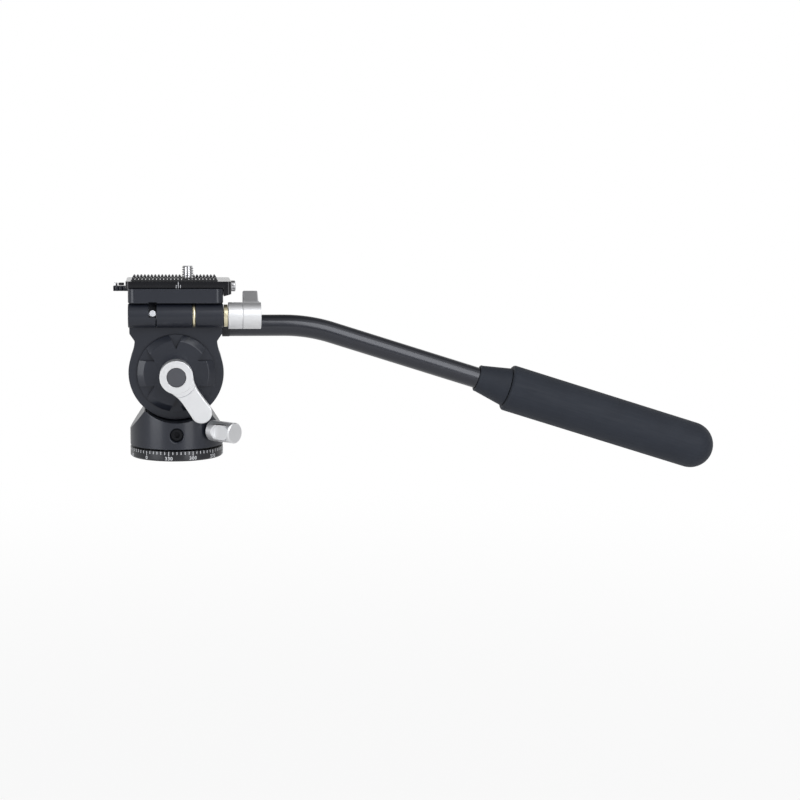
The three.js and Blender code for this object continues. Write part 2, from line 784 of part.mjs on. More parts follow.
function addTiltHead(parent) {
  piece(parent, 'tilt_housing', tiltHousing(), blackAnodised);
  const small = { axis: 'y', steps: midSteps };
  const nearBore = rod(axleRadius + seat, [-coverFace - overrun, -coverInner + overrun], small);
  piece(parent, 'dial_cover', cheekCover(-1, nearBore), blackAnodised);
  const farRecess = rod(coverRecess, [coverInner - overrun, cheekOuter + axleHeadHeight + 2 * seat], small);
  piece(parent, 'far_cover', cheekCover(1, farRecess), blackAnodised);
  const bushBore = axleRadius + seat;
  const bushSpan = [cheekInner + seat, cheekOuter];
  const discSpan = [uprightSide + seat, uprightSide + seat + frictionThickness];
  for (const [side, name] of [[-1, 'near'], [1, 'far']]) {
    const span = ([low, high]) => (side > 0 ? [low, high] : [-high, -low]);
    const bush = tube(bushBore, bushBore + bushWall, span(bushSpan), { axis: 'y', steps: smallSteps });
    piece(parent, `tilt_bush_${name}`, bush, brass);
    piece(parent, `friction_disc_${name}`, tube(bushBore, frictionRadius, span(discSpan), small), whitePlastic);
  }
  addHinge(parent);
  addHandle(parent);
}

function addHinge(parent) {
  const hinge = new THREE.Group();
  hinge.position.set(0, -hingeForward, hingeHeight);
  parent.add(hinge);
  const along = { axis: 'x', steps: midSteps };
  const headEnd = -clampHalfLength + seat;
  const headRoot = headEnd + hingeHeadLength;
  const pinEnd = flipLeverStart + spigotLength - seat;
  piece(hinge, 'hinge_pin', turned([
    [0, headEnd], [hingeHeadRadius, headEnd], [hingeHeadRadius, headRoot], [hingePinRadius, headRoot],
    [hingePinRadius, pinEnd], [0, pinEnd],
  ], { axis: 'x', steps: smallSteps }), steel);
  const brassBore = hingePinRadius + seat;
  const washerStart = middleRight + seat;
  const washer = tube(brassBore, brassRadius, [washerStart, washerStart + brassThickness], along);
  piece(hinge, 'brass_washer', washer, brass);
  const collar = tube(brassBore, brassRadius, [brassCollarStart, brassCollarStart + brassCollarLength], along);
  piece(hinge, 'brass_collar', collar, brass);
  const pin = new THREE.CylinderGeometry(
    stopPinRadius, stopPinRadius, knuckleRadius - hingePinRadius - seat, smallSteps);
  pin.translate(0, (knuckleRadius + hingePinRadius + seat) / 2, 0);
  pin.rotateX(stopPinAngle);
  pin.translate(-middleLeft - stopPinRadius - seat, 0, 0);
  piece(hinge, 'stop_pin', solidOf(pin), chrome);
}

function addHandle(parent) {
  const along = { axis: 'x', steps: midSteps, at: [0, 0, handleHeight] };
  const studEnd = blockHalfWidth + handleStudOutside;
  piece(parent, 'handle_stud', rod(handleStudRadius, [blockHalfWidth - handleStudInside, studEnd],
    { ...along, steps: smallSteps }), steel);
  const span = [blockHalfWidth + seat, tubeRoot - seat];
  const collar = tube(handleStudRadius + seat, handleCollarRadius, span, along);
  piece(parent, 'handle_collar', collar, blackPlastic);
  piece(parent, 'handle_tube', handleTube(), blackAnodised);
  const arm = new THREE.Group();
  arm.position.copy(alongHandle(gripStart));
  arm.rotation.y = quarter + bendAngle;
  parent.add(arm);
  piece(arm, 'grip_collar', gripCollar(), blackPlastic);
  piece(arm, 'grip_sleeve', gripSleeve(), rubber);
  const plugIn = tubeInGrip - plugLength;
  const plug = turned([
    [0, plugIn], [tubeRadius - tubeWall - seat, plugIn], [tubeRadius - tubeWall - seat, tubeInGrip + seat],
    [tubeRadius, tubeInGrip + seat], [tubeRadius, tubeInGrip + plugLength], [0, tubeInGrip + plugLength],
  ], { steps: smallSteps });
  piece(arm, 'tube_end_plug', plug, blackPlastic);
}

// Lock levers, modelled with the hub's axis along +Z, outward, and the arm along +X
function leverOutline({ hub, tip, reach, waist }) {
  const [startX, startY] = [hub * Math.cos(hubTangent), hub * Math.sin(hubTangent)];
  const controlX = startX + (startY - waist) * Math.tan(hubTangent);
  const waistX = reach * waistShare;
  const shape = new THREE.Shape();
  shape.moveTo(startX, -startY);
  shape.quadraticCurveTo(controlX, -waist, waistX, -waist);
  shape.quadraticCurveTo((waistX + reach) / 2, -waist, reach, -tip);
  shape.absarc(reach, 0, tip, -quarter, quarter, false);
  shape.quadraticCurveTo((waistX + reach) / 2, waist, waistX, waist);
  shape.quadraticCurveTo(controlX, waist, startX, startY);
  shape.absarc(0, 0, hub, hubTangent, 4 * quarter - hubTangent, false);
  return shape;
}

function lockLever(sizes, start) {
  const end = start + sizes.thickness;
  const armEnd = end - leverFront;
  const armSpan = [armEnd - sizes.arm, armEnd - leverStep];
  const arm = drawn(leverOutline(sizes), armSpan, 'plan', { bevel: leverBevel });
  const raised = within(
    drawn(leverOutline(sizes), [armEnd - sizes.arm / 2, armEnd], 'plan', { bevel: leverBevel }),
    rod(sizes.step, [start, end]));
  const hub = turned([
    [0, start], [sizes.hub - leverBevel, start], [sizes.hub, start + leverBevel],
    [sizes.hub, end - leverBevel], [sizes.hub - leverBevel, end], [0, end],
  ], { steps: midSteps });
  return cut(
    join(arm, raised, hub),
    rod(spigotRadius + seat, [start - overrun, end + overrun], { steps: midSteps }),
    rod(sizes.cap + seat, [end - capHeight - seat, end + overrun], { steps: midSteps }),
  );
}

// The threaded collar under a lever, with the spigot that fills the lever's bore.
function leverCollar(radius, bore, [start, end]) {
  return turned([
    [bore, start], [radius, start], [radius, end], [spigotRadius, end],
    [spigotRadius, end + seat + spigotLength], [bore, end + seat + spigotLength],
  ], { steps: midSteps });
}

function leverCap(sizes, start) {
  const end = start + sizes.thickness + capProud;
  const low = start + sizes.thickness - capHeight;
  return turned([
    [0, low], [sizes.cap, low], [sizes.cap, end - capBevel], [sizes.cap - capBevel, end], [0, end],
  ], { steps: midSteps });
}

function addTiltLever(parent) {
  const lever = new THREE.Group();
  lever.rotation.x = quarter;
  parent.add(lever);
  const turnedArm = new THREE.Group();
  turnedArm.rotation.z = tiltLeverAngle;
  lever.add(turnedArm);
  const span = [collarStart, collarStart + tiltCollarLength];
  const collar = leverCollar(tiltCollarRadius, axleRadius + seat, span);
  piece(turnedArm, 'tilt_lever_collar', collar, satinSilver);
  piece(turnedArm, 'tilt_lever', lockLever(tiltLever, leverStart), satinSilver);
  piece(turnedArm, 'tilt_lever_cap', leverCap(tiltLever, leverStart), greyPlastic);
}

function addFlipLever(parent) {
  const lever = new THREE.Group();
  lever.position.set(0, -hingeForward, hingeHeight);
  lever.quaternion.setFromRotationMatrix(drawings.side);
  parent.add(lever);
  const turnedArm = new THREE.Group();
  turnedArm.rotation.z = flipLeverAngle;
  lever.add(turnedArm);
  const collarSpan = [flipCollarStart, flipCollarStart + flipCollarLength];
  const collar = leverCollar(flipLever.hub, hingePinRadius + seat, collarSpan);
  piece(turnedArm, 'flip_lever_collar', collar, satinSilver);
  piece(turnedArm, 'flip_lever', lockLever(flipLever, flipLeverStart), satinSilver);
  piece(turnedArm, 'flip_lever_cap', leverCap(flipLever, flipLeverStart), greyPlastic);
}

// Clamp: base with the near jaw and the two outer knuckles, sliding far jaw, and its lever
function dovetail(clearance, top) {
  const wide = tailHalfWidth + clearance;
  const neck = tailNeck + clearance;
  const low = plateBottom - (clearance > 0 ? seat : 0);
  return outline([
    [-wide, low], [wide, low], [wide, plateBottom + tailEdge], [neck, rimBottom], [neck, top], [-neck, top],
    [-neck, rimBottom], [-wide, plateBottom + tailEdge],
  ]);
}

function clampBase() {
  const long = clampHalfLength + overrun;
  const plan = roundedRectangle([-clampHalfLength, clampHalfLength], [-clampNear, clampNear], clampCorner);
  const blank = drawn(plan, [clampBottom, clampTop], 'plan');
  const hinge = [0, -hingeForward, hingeHeight];
  const along = { axis: 'x', steps: midSteps, at: hinge };
  const spans = [[-clampHalfLength, -middleLeft - seat], [rightKnuckle, clampHalfLength]];
  const knuckles = spans.map((span) => rod(knuckleRadius, span, along));
  const webs = spans.map((span) =>
    block(span, [-hingeForward - webFront, -cheekOuter - seat], [hingeHeight, clampBottom + seat]));
  const allHeights = [clampBottom - overrun, clampTop + overrun];
  const jawSide = block([-long, long], [jawInner - seat, clampNear + overrun], allHeights);
  const channel = drawn(dovetail(undercut, clampTop + overrun), [-long, long], 'side');
  const slotCut = block(
    [-middleLeft - 2 * (stopPinRadius + seat), -middleLeft], [-stopPinRadius - seat, stopPinRadius + seat],
    [0, knuckleRadius + overrun]);
  const slotCuts = Array.from({ length: stopSlotCuts + 1 }, (_, i) => {
    const turn = stopPinAngle - quarter - (flipTravel * i) / stopSlotCuts;
    return turnedAbout(slotCut, turn, hinge);
  });
  const guides = [-guideSpacing, guideSpacing].map((x) =>
    rod(guideRadius + seat, [jawInner - guideInBase - seat, jawInner], guidePlace(x)));
  return cut(
    join(cut(blank, channel, jawSide), ...knuckles, ...webs),
    ...slotCuts,
    rod(hingePinRadius + seat, [-long, long], along),
    rod(hingeHeadRadius + seat, [-long, -clampHalfLength + hingeHeadLength + 2 * seat], along),
    ...guides,
    rod(drawRodRadius + seat, [jawInner - drawRodInBase - seat, jawInner], guidePlace(drawRodAt)),
  );
}

const guidePlace = (x) => ({ axis: 'y', steps: smallSteps, at: [x, 0, clampBottom + guideHeight] });

// A solid turned about the hinge's axis and moved to it.
function turnedAbout(solid, angle, at) {
  const geometry = geometryOf(solid);
  geometry.rotateX(angle);
  geometry.translate(...at);
  return solidOf(geometry);
}

function clampJaw() {
  const long = clampHalfLength + overrun;
  const along = [-clampHalfLength, clampHalfLength];
  const plan = roundedRectangle(along, [jawInner - clampNear, jawOuter], clampCorner);
  const blank = drawn(plan, [clampBottom, clampTop], 'plan');
  const inner = block([-long, long], [-clampNear, jawInner], [clampBottom - overrun, clampTop + overrun]);
  const channel = drawn(dovetail(undercut, clampTop + overrun), [-long, long], 'side');
  const guides = [-guideSpacing, guideSpacing].map((x) =>
    rod(guideRadius + seat, [jawInner - overrun, jawInner + guideInJaw + seat], guidePlace(x)));
  return cut(blank, inner, channel, ...guides,
    rod(drawRodRadius + seat, [jawInner - overrun, jawOuter + overrun], guidePlace(drawRodAt)));
}

function drawRod() {
  const eye = { steps: midSteps, at: [drawRodAt, pivotY, 0] };
  return cut(
    join(
      rod(drawRodRadius, [jawInner - drawRodInBase, pivotY], guidePlace(drawRodAt)),
      rod(eyeRadius, [clampBottom, clampBottom + eyeHeight], eye)),
    rod(pivotRadius + seat, [clampBottom - overrun, clampBottom + eyeHeight + overrun], eye),
  );
}

// The cam's edge in plan, from the pivot: its radius falls evenly from the jaw's side onward.
function camOutline() {
  const points = [];
  for (let i = 0; i <= camSteps; i += 1) {
    const angle = (camTravel * i) / camSteps;
    const radius = camReach - camEase * angle;
    points.push([radius * Math.cos(angle - quarter), radius * Math.sin(angle - quarter)]);
  }
  const small = camReach - camEase * camTravel;
  const backSteps = camSteps / 2;
  const backTurn = 2 * quarter - camTravel;
  for (let i = 1; i <= backSteps; i += 1) {
    const angle = camTravel - quarter + (backTurn * i) / backSteps;
    points.push([small * Math.cos(angle), small * Math.sin(angle)]);
  }
  return outline(points);
}

function clampLever() {
  const inner = -camReach;
  const armOuter = inner + leverArmWidth;
  const tabStart = -leverTabStart - drawRodAt;
  const tabEnd = -leverTabEnd - drawRodAt;
  const arm = new THREE.Shape();
  arm.moveTo(0, inner);
  arm.lineTo(0, 0);
  arm.lineTo(-eyeRadius, 0);
  arm.quadraticCurveTo(-camReach, armOuter, -2 * camReach, armOuter);
  arm.lineTo(tabStart + camReach, armOuter);
  arm.quadraticCurveTo(tabStart + leverArmWidth, armOuter, tabStart, inner + leverTabWidth);
  arm.lineTo(tabEnd, inner + leverTabWidth);
  arm.lineTo(tabEnd, inner);
  const span = [leverBottom, leverTop];
  const at = [drawRodAt, pivotY, 0];
  const pitch = (leverTabEnd - leverTabStart) / tabRibs;
  const grooves = Array.from({ length: tabRibs }, (_, i) =>
    rod(tabRibRadius, [leverBottom - overrun, leverTop + overrun],
      { steps: smallSteps, at: [-leverTabStart - pitch * (i + 0.5), pivotY + inner, 0] }));
  return cut(
    join(drawn(arm, span, 'plan', { at }), drawn(camOutline(), span, 'plan', { at })),
    ...grooves,
    rod(pivotRadius + seat, [leverBottom - overrun, leverTop + overrun], { steps: midSteps, at }),
    rod(buttonRadius + seat, [leverTop - buttonSunk - buttonTravel - seat, leverTop + overrun],
      { steps: smallSteps, at: tabPlace(buttonAt) }),
  );
}

const tabPlace = (distance) => [-distance, pivotY - camReach + leverTabWidth / 2, 0];

function addClamp(parent) {
  piece(parent, 'clamp_base', clampBase(), blackAnodised);
  [-guideSpacing, guideSpacing].forEach((x, i) => {
    const span = [jawInner - guideInBase, jawInner + guideInJaw];
    piece(parent, `jaw_guide_pin_${i + 1}`, rod(guideRadius, span, guidePlace(x)), steel);
  });
  piece(parent, 'draw_rod', drawRod(), steel);
  piece(parent, 'clamp_jaw', clampJaw(), blackAnodised);
  piece(parent, 'clamp_lever', clampLever(), blackAnodised);
  const pivotHead = leverTop + seat;
  const pivot = turned([
    [0, clampBottom], [pivotRadius, clampBottom], [pivotRadius, pivotHead], [pivotHeadRadius, pivotHead],
    [pivotHeadRadius, pivotHead + pivotHeadHeight], [0, pivotHead + pivotHeadHeight],
  ], { steps: smallSteps, at: [drawRodAt, pivotY, 0] });
  piece(parent, 'lever_pivot_pin', pivot, steel);
  const buttonSpan = [leverTop - buttonSunk, leverTop + buttonRise];
  const button = rod(buttonRadius, buttonSpan, { steps: smallSteps, at: tabPlace(buttonAt) });
  piece(parent, 'lever_button', button, chrome);
  const latchReach = (latchLength - latchWidth) / 2;
  const latchSpan = [leverTop + seat, leverTop + seat + latchHeight];
  const latch = drawn(slotOutline([-latchReach, latchReach], latchWidth / 2), latchSpan, 'plan',
    { at: tabPlace(latchAt) });
  piece(parent, 'lever_latch', latch, blackPlastic);
}

// Camera plate with its dovetail, hook and screw slot
function cameraPlate() {
  const rimPlan = roundedRectangle([-plateLeft, plateRight], [-plateHalfWidth, plateHalfWidth], plateCorner);
  const rim = drawn(rimPlan, [rimBottom, rimTop], 'plan');
  const tail = drawn(dovetail(0, rimBottom + seat), [-clampHalfLength, clampHalfLength], 'side');
  const hookStart = plateRight - hookThickness;
  const hookSide = outline([
    [hookStart, rimBottom + seat], [hookStart, rimBottom - hookDrop],
    [plateRight, rimBottom - hookDrop + hookSlant], [plateRight, rimBottom + seat],
  ]);
  const hookPlan = drawn(rimPlan, [rimBottom - hookDrop - overrun, rimTop], 'plan');
  const hook = within(drawn(hookSide, [-plateHalfWidth, plateHalfWidth], 'front'), hookPlan);
  const slotSpan = [-screwSlotLeft, screwSlotRight];
  const strips = [-1, 1].map((side) => stripPocket(side));
  return cut(
    join(rim, tail, hook),
    drawn(slotOutline(slotSpan, cameraScrewRadius + seat), [plateBottom - overrun, rimTop + overrun], 'plan'),
    drawn(slotOutline(slotSpan, cameraScrewHead + seat), [plateBottom - overrun, slotCeiling], 'plan'),
    ...strips,
    rod(stopScrewRadius + seat, [plateRight - stopScrewLength - seat, plateRight + overrun], stopScrewPlace()),
  );
}

const stopScrewPlace = () => ({ axis: 'x', steps: smallSteps, at: [0, 0, rimBottom] });

const stripSpan = (side, clearance) => (side > 0
  ? [stripInner - clearance, stripOuter + clearance]
  : [-stripOuter - clearance, -stripInner + clearance]);

function stripPocket(side) {
  const heights = [rimTop - stripSunk, rimTop + overrun];
  return block([-stripLeft - seat, stripRight + seat], stripSpan(side, seat), heights);
}

// A rubber strip: a flat base under a row of teeth that run across the plate.
function rubberStrip(side) {
  const low = rimTop - stripSunk + seat;
  const root = low + stripBase;
  const pitch = (stripLeft + stripRight) / toothCount;
  const points = [[-stripLeft, low], [stripRight, low]];
  for (let i = toothCount; i > 0; i -= 1) {
    points.push([-stripLeft + pitch * i, root]);
    points.push([-stripLeft + pitch * (i - 0.5), root + toothHeight]);
  }
  points.push([-stripLeft, root]);
  return drawn(outline(points), stripSpan(side, 0), 'front');
}

function cameraScrew() {
  const top = rimTop - stripSunk + seat + stripBase + toothHeight + cameraScrewProud;
  const at = [cameraScrewAt, 0, 0];
  const body = turned([
    [0, screwHeadBottom], [cameraScrewHead, screwHeadBottom], [cameraScrewHead, screwHeadTop],
    [cameraScrewRadius, screwHeadTop], [cameraScrewRadius, top - cameraScrewBevel],
    [cameraScrewRadius - cameraScrewBevel, top], [0, top],
  ], { steps: midSteps, at });
  const reach = cameraScrewHead + overrun;
  return cut(body, block(
    [cameraScrewAt - reach, cameraScrewAt + reach], [-coinSlotWidth / 2, coinSlotWidth / 2],
    [screwHeadBottom - overrun, screwHeadBottom + coinSlotDepth]));
}

function addPlate(parent) {
  piece(parent, 'camera_plate', cameraPlate(), blackAnodised);
  piece(parent, 'rubber_strip_near', rubberStrip(-1), rubber);
  piece(parent, 'rubber_strip_far', rubberStrip(1), rubber);
  const head = plateRight + seat;
  piece(parent, 'stop_screw', turned([
    [0, plateRight - stopScrewLength], [stopScrewRadius, plateRight - stopScrewLength], [stopScrewRadius, head],
    [stopHeadRadius, head], [stopHeadRadius, head + stopHeadHeight - stopHeadBevel],
    [stopHeadRadius - stopHeadBevel, head + stopHeadHeight], [0, head + stopHeadHeight],
  ], stopScrewPlace()), chrome);
  const clip = tube(cameraScrewRadius + seat, clipRadius, [clipBottom, clipBottom + clipThickness],
    { steps: midSteps, at: [cameraScrewAt, 0, 0] });
  piece(parent, 'screw_clip', clip, steel);
  piece(parent, 'camera_screw', cameraScrew(), chrome);
}

// The whole head
const head = new THREE.Group();
addBase(head);
addPanBody(head);
addPanLock(head);
const tilt = new THREE.Group();
tilt.position.z = tiltAxisHeight;
head.add(tilt);
addTiltHead(tilt);
addTiltLever(tilt);
addFlipLever(tilt);
addClamp(tilt);
addPlate(tilt);

export default head;
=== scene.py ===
"""The looks of a fluid video head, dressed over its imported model.

Lengths are in millimetres while a piece is shaped, and its mesh turns to metres when it is
finished. +X points to the handle, +Y away from the dial's side and +Z up, from the bottom centre
of the base.
"""

from __future__ import annotations

import logging
import math
from dataclasses import dataclass, field
from enum import Enum
from typing import Iterable

import bmesh
import bpy
from mathutils import Matrix, Vector


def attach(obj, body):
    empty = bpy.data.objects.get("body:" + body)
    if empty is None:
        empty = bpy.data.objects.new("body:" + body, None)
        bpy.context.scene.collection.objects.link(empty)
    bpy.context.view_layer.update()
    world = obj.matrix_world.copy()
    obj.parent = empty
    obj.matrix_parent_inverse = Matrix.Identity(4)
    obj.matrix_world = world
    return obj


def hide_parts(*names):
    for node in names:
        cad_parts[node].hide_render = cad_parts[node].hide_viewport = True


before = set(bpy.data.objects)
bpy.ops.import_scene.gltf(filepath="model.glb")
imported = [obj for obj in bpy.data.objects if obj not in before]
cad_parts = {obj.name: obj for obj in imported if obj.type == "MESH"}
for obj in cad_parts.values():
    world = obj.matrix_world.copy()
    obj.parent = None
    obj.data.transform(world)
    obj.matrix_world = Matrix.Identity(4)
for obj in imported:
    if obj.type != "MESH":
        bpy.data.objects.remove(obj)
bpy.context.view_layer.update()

# A millimetre in metres
MM = 0.001
# The room between two pieces that seat on each other
SEAT = 0.3
# How far a cutting body reaches past what it cuts
OVERRUN = 2.0
# Corners nearer than this are one
WELD = 0.004
# Faces that turn less than this against each other are one flat face
FLAT = math.radians(0.3)
MATH = "ShaderNodeMath"
LOG = logging.getLogger("video_head")
Point = tuple[float, float]
Place = tuple[float, float, float]


class View(Enum):
    """The side that a flat outline is drawn from: the axes of its two numbers and of its depth."""

    PLAN = (0, 1, 2)
    FRONT = (0, 2, 1)
    SIDE = (1, 2, 0)


class Axis(Enum):
    """The axis that a turned piece stands on, as the turn that brings +Z to it."""

    X = Matrix.Rotation(math.pi / 2, 4, "Y")
    Y = Matrix.Rotation(-math.pi / 2, 4, "X")
    Z = Matrix.Identity(4)


# Drawing and shaping


def arc(centre: Point, radius: float, start: float, end: float, steps: int = 24) -> list[Point]:
    """Points on an arc.

    Args:
        centre: the arc's centre.
        radius: its radius.
        start: the angle of the first point, in degrees from the first axis.
        end: the angle of the last point.
        steps: how many chords it has.

    Returns:
        The points, both ends included.
    """
    angles = [math.radians(start + (end - start) * i / steps) for i in range(steps + 1)]
    return [(centre[0] + radius * math.cos(a), centre[1] + radius * math.sin(a)) for a in angles]


def bend(start: Point, control: Point, end: Point, steps: int = 12) -> list[Point]:
    """Points on a smooth bend.

    Args:
        start: its first point.
        control: the point that it is drawn towards.
        end: its last point.
        steps: how many chords it has.

    Returns:
        The points, both ends included.
    """
    shares = [i / steps for i in range(steps + 1)]
    return [
        tuple((1 - t) ** 2 * a + 2 * t * (1 - t) * c + t * t * b
              for a, c, b in zip(start, control, end))
        for t in shares
    ]


def rounded_rectangle(x: Point, y: Point, radius: float, steps: int = 14) -> list[Point]:
    """The outline of a rectangle with round corners.

    Args:
        x: its limits on the first axis.
        y: its limits on the second axis.
        radius: the radius of its corners.
        steps: chords in each corner.

    Returns:
        The outline's points.
    """
    return [
        *arc((x[1] - radius, y[0] + radius), radius, -90, 0, steps),
        *arc((x[1] - radius, y[1] - radius), radius, 0, 90, steps),
        *arc((x[0] + radius, y[1] - radius), radius, 90, 180, steps),
        *arc((x[0] + radius, y[0] + radius), radius, 180, 270, steps),
    ]


def slot_outline(x: Point, half_width: float, steps: int = 24) -> list[Point]:
    """The outline of a slot along the first axis.

    Args:
        x: the centres of its two round ends.
        half_width: half its width.
        steps: chords in each end.

    Returns:
        The outline's points.
    """
    return [
        *arc((x[1], 0), half_width, -90, 90, steps),
        *arc((x[0], 0), half_width, 90, 270, steps),
    ]


class Solid:
    """A closed body in millimetres, while it is being shaped."""

    def __init__(self, mesh: bpy.types.Mesh) -> None:
        """Keeps the body's mesh."""
        self.mesh = mesh

    @classmethod
    def _of(cls, shape: bmesh.types.BMesh) -> Solid:
        """Turns a bmesh into a body, with its faces pointing out.

        Args:
            shape: the bmesh, which is freed.

        Returns:
            The body.
        """
        bmesh.ops.recalc_face_normals(shape, faces=shape.faces)
        mesh = bpy.data.meshes.new("shape")
        shape.to_mesh(mesh)
        shape.free()
        return cls(mesh)

    @classmethod
    def lathe(
        cls, profile: list[Point], axis: Axis = Axis.Z, at: Place = (0, 0, 0), steps: int = 96
    ) -> Solid:
        """Turns a profile about an axis.

        Args:
            profile: (radius, place along the axis) points; it starts and ends on the axis, or
                closes on itself.
            axis: the axis that it is turned about.
            at: a point of that axis, from which places along it count.
            steps: facets round the axis.

        Returns:
            The turned body.
        """
        shape = bmesh.new()
        turns = [2 * math.pi * i / steps for i in range(steps)]
        rings = [
            [shape.verts.new((0, 0, z))] if r == 0
            else [shape.verts.new((r * math.cos(a), r * math.sin(a), z)) for a in turns]
            for r, z in profile
        ]
        pairs = list(zip(rings, rings[1:]))
        if profile[0][0] > 0:
            pairs.append((rings[-1], rings[0]))
        for low, high in pairs:
            for i in range(steps):
                j = (i + 1) % steps
                corners = list(dict.fromkeys([
                    low[i % len(low)], low[j % len(low)], high[j % len(high)], high[i % len(high)],
                ]))
                if len(corners) > 2:
                    shape.faces.new(corners)
        shape.transform(Matrix.Translation(at) @ axis.value)
        return cls._of(shape)

    @classmethod
    def rod(
        cls, radius: float, span: Point, axis: Axis = Axis.Z, at: Place = (0, 0, 0), steps: int = 96
    ) -> Solid:
        """A plain round bar between two places along an axis."""
        low, high = span
        return cls.lathe([(0, low), (radius, low), (radius, high), (0, high)], axis, at, steps)

    @classmethod
    def ring(
        cls, bore: float, radius: float, span: Point, axis: Axis = Axis.Z, at: Place = (0, 0, 0)
    ) -> Solid:
        """A plain ring between two places along an axis."""
        low, high = span
        return cls.lathe([(bore, low), (radius, low), (radius, high), (bore, high)], axis, at)

    @classmethod
    def prism(cls, outline: list[Point], span: Point, view: View) -> Solid:
        """Draws an outline out.

        Args:
            outline: its points, as the view sees them.
            span: where the body starts and ends along the axis that the view looks along.
            view: the side that the outline is drawn from.

        Returns:
            The body.
        """
        first, second, depth = view.value
        shape = bmesh.new()
        layers = []
        for place in span:
            layer = []
            for u, v in outline:
                corner = [0.0, 0.0, 0.0]
                corner[first], corner[second], corner[depth] = u, v, place
                layer.append(shape.verts.new(corner))
            layers.append(layer)
        low, high = layers
        shape.faces.new(low)
        shape.faces.new(high)
        for i in range(len(low)):
            j = (i + 1) % len(low)
            shape.faces.new([low[i], low[j], high[j], high[i]])
        bmesh.ops.remove_doubles(shape, verts=shape.verts, dist=WELD)
        return cls._of(shape)

    @classmethod
    def block(cls, x: Point, y: Point, z: Point) -> Solid:
        """A block between two limits on each axis."""
        return cls.prism([(x[0], y[0]), (x[1], y[0]), (x[1], y[1]), (x[0], y[1])], z, View.PLAN)

    def placed(self, matrix: Matrix) -> Solid:
        """Moves a copy of the body.

        Args:
            matrix: the move.

        Returns:
            The moved copy.
        """
        mesh = self.mesh.copy()
        mesh.transform(matrix)
        return Solid(mesh)

    def _shaped(self, operation: str, tools: Iterable[Solid]) -> Solid:
        """Runs one boolean operation with each of some tools.

        Args:
            operation: the operation's name in Blender.
            tools: the bodies that it is run with.

        Returns:
            The body after it.
        """
        host = linked("body", self.mesh)
        helpers = []
        for tool in tools:
            helper = linked("tool", tool.mesh)
            modifier = host.modifiers.new("boolean", "BOOLEAN")
            modifier.operation = operation
            modifier.solver = "MANIFOLD"
            modifier.object = helper
            helpers.append(helper)
        shaped = Solid(baked(host))
        for helper in helpers:
            bpy.data.objects.remove(helper)
        return shaped

    def cut(self, *tools: Solid) -> Solid:
        """The body less each of the tools."""
        return self._shaped("DIFFERENCE", tools)

    def joined(self, *others: Solid) -> Solid:
        """The body and the others as one."""
        return self._shaped("UNION", others)

    def within(self, *bounds: Solid) -> Solid:
        """What lies inside the body and every bound."""
        return self._shaped("INTERSECT", bounds)

    def rounded(self, width: float, steps: int = 2, angle: float = 28.0) -> Solid:
        """Breaks the sharp edges.

        Args:
            width: how far the rounding reaches from an edge.
            steps: chords across it.
            angle: the least angle of an edge that is broken, in degrees.

        Returns:
            The body with its edges broken.
        """
        shape = bmesh.new()
        shape.from_mesh(self.mesh)
        bmesh.ops.remove_doubles(shape, verts=shape.verts, dist=WELD)
        bmesh.ops.dissolve_degenerate(shape, edges=shape.edges, dist=WELD)
        bmesh.ops.dissolve_limit(
            shape, angle_limit=FLAT, verts=shape.verts, edges=shape.edges, delimit={"NORMAL"})
        shape.to_mesh(self.mesh)
        shape.free()
        host = linked("body", self.mesh)
        modifier = host.modifiers.new("bevel", "BEVEL")
        modifier.width = width
        modifier.segments = steps
        modifier.limit_method = "ANGLE"
        modifier.angle_limit = math.radians(angle)
        modifier.use_clamp_overlap = False
        modifier.miter_outer = "MITER_ARC"
        return Solid(baked(host))

    def piece(
        self, name: str, body: str, finish: Finish, slot: str, nodes: Iterable[str] = (),
        crease: float = 32.0,
    ) -> bpy.types.Object:
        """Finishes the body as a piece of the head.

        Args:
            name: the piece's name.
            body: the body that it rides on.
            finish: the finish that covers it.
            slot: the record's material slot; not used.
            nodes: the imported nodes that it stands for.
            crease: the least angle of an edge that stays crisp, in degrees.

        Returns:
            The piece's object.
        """
        mesh = self.mesh.copy()
        mesh.transform(Matrix.Scale(MM, 4))
        mesh.materials.clear()
        mesh.materials.append(finish.material())
        mesh.polygons.foreach_set("use_smooth", [True] * len(mesh.polygons))
        mesh.set_sharp_from_angle(angle=math.radians(crease))
        host = linked(name, mesh)
        modifier = host.modifiers.new("normals", "WEIGHTED_NORMAL")
        modifier.keep_sharp = True
        made = linked(name, baked(host))
        made.name = name
        made.data.name = name
        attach(made, body)
        if nodes:
            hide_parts(*nodes)
        LOG.info("%s: %d faces, on %s", name, len(made.data.polygons), body)
        return made


def linked(name: str, data: bpy.types.ID | None) -> bpy.types.Object:
    """Adds an object to the scene.

    Args:
        name: its name.
        data: the mesh, curve, light or camera that it shows.

    Returns:
        The object.
    """
    made = bpy.data.objects.new(name, data)
    bpy.context.scene.collection.objects.link(made)
    return made


def baked(host: bpy.types.Object) -> bpy.types.Mesh:
    """Turns an object with its modifiers into a mesh, and removes the object.

    Args:
        host: the object.

    Returns:
        The mesh that its modifiers make.
    """
    graph = bpy.context.evaluated_depsgraph_get()
    mesh = bpy.data.meshes.new_from_object(host.evaluated_get(graph))
    bpy.data.objects.remove(host)
    return mesh


def merged(solids: Iterable[Solid]) -> Solid:
    """Gathers bodies that lie apart in one mesh.

    Args:
        solids: the bodies.

    Returns:
        One body of them all.
    """
    shape = bmesh.new()
    for solid in solids:
        shape.from_mesh(solid.mesh)
    mesh = bpy.data.meshes.new("shape")
    shape.to_mesh(mesh)
    shape.free()
    return Solid(mesh)


# Nodes


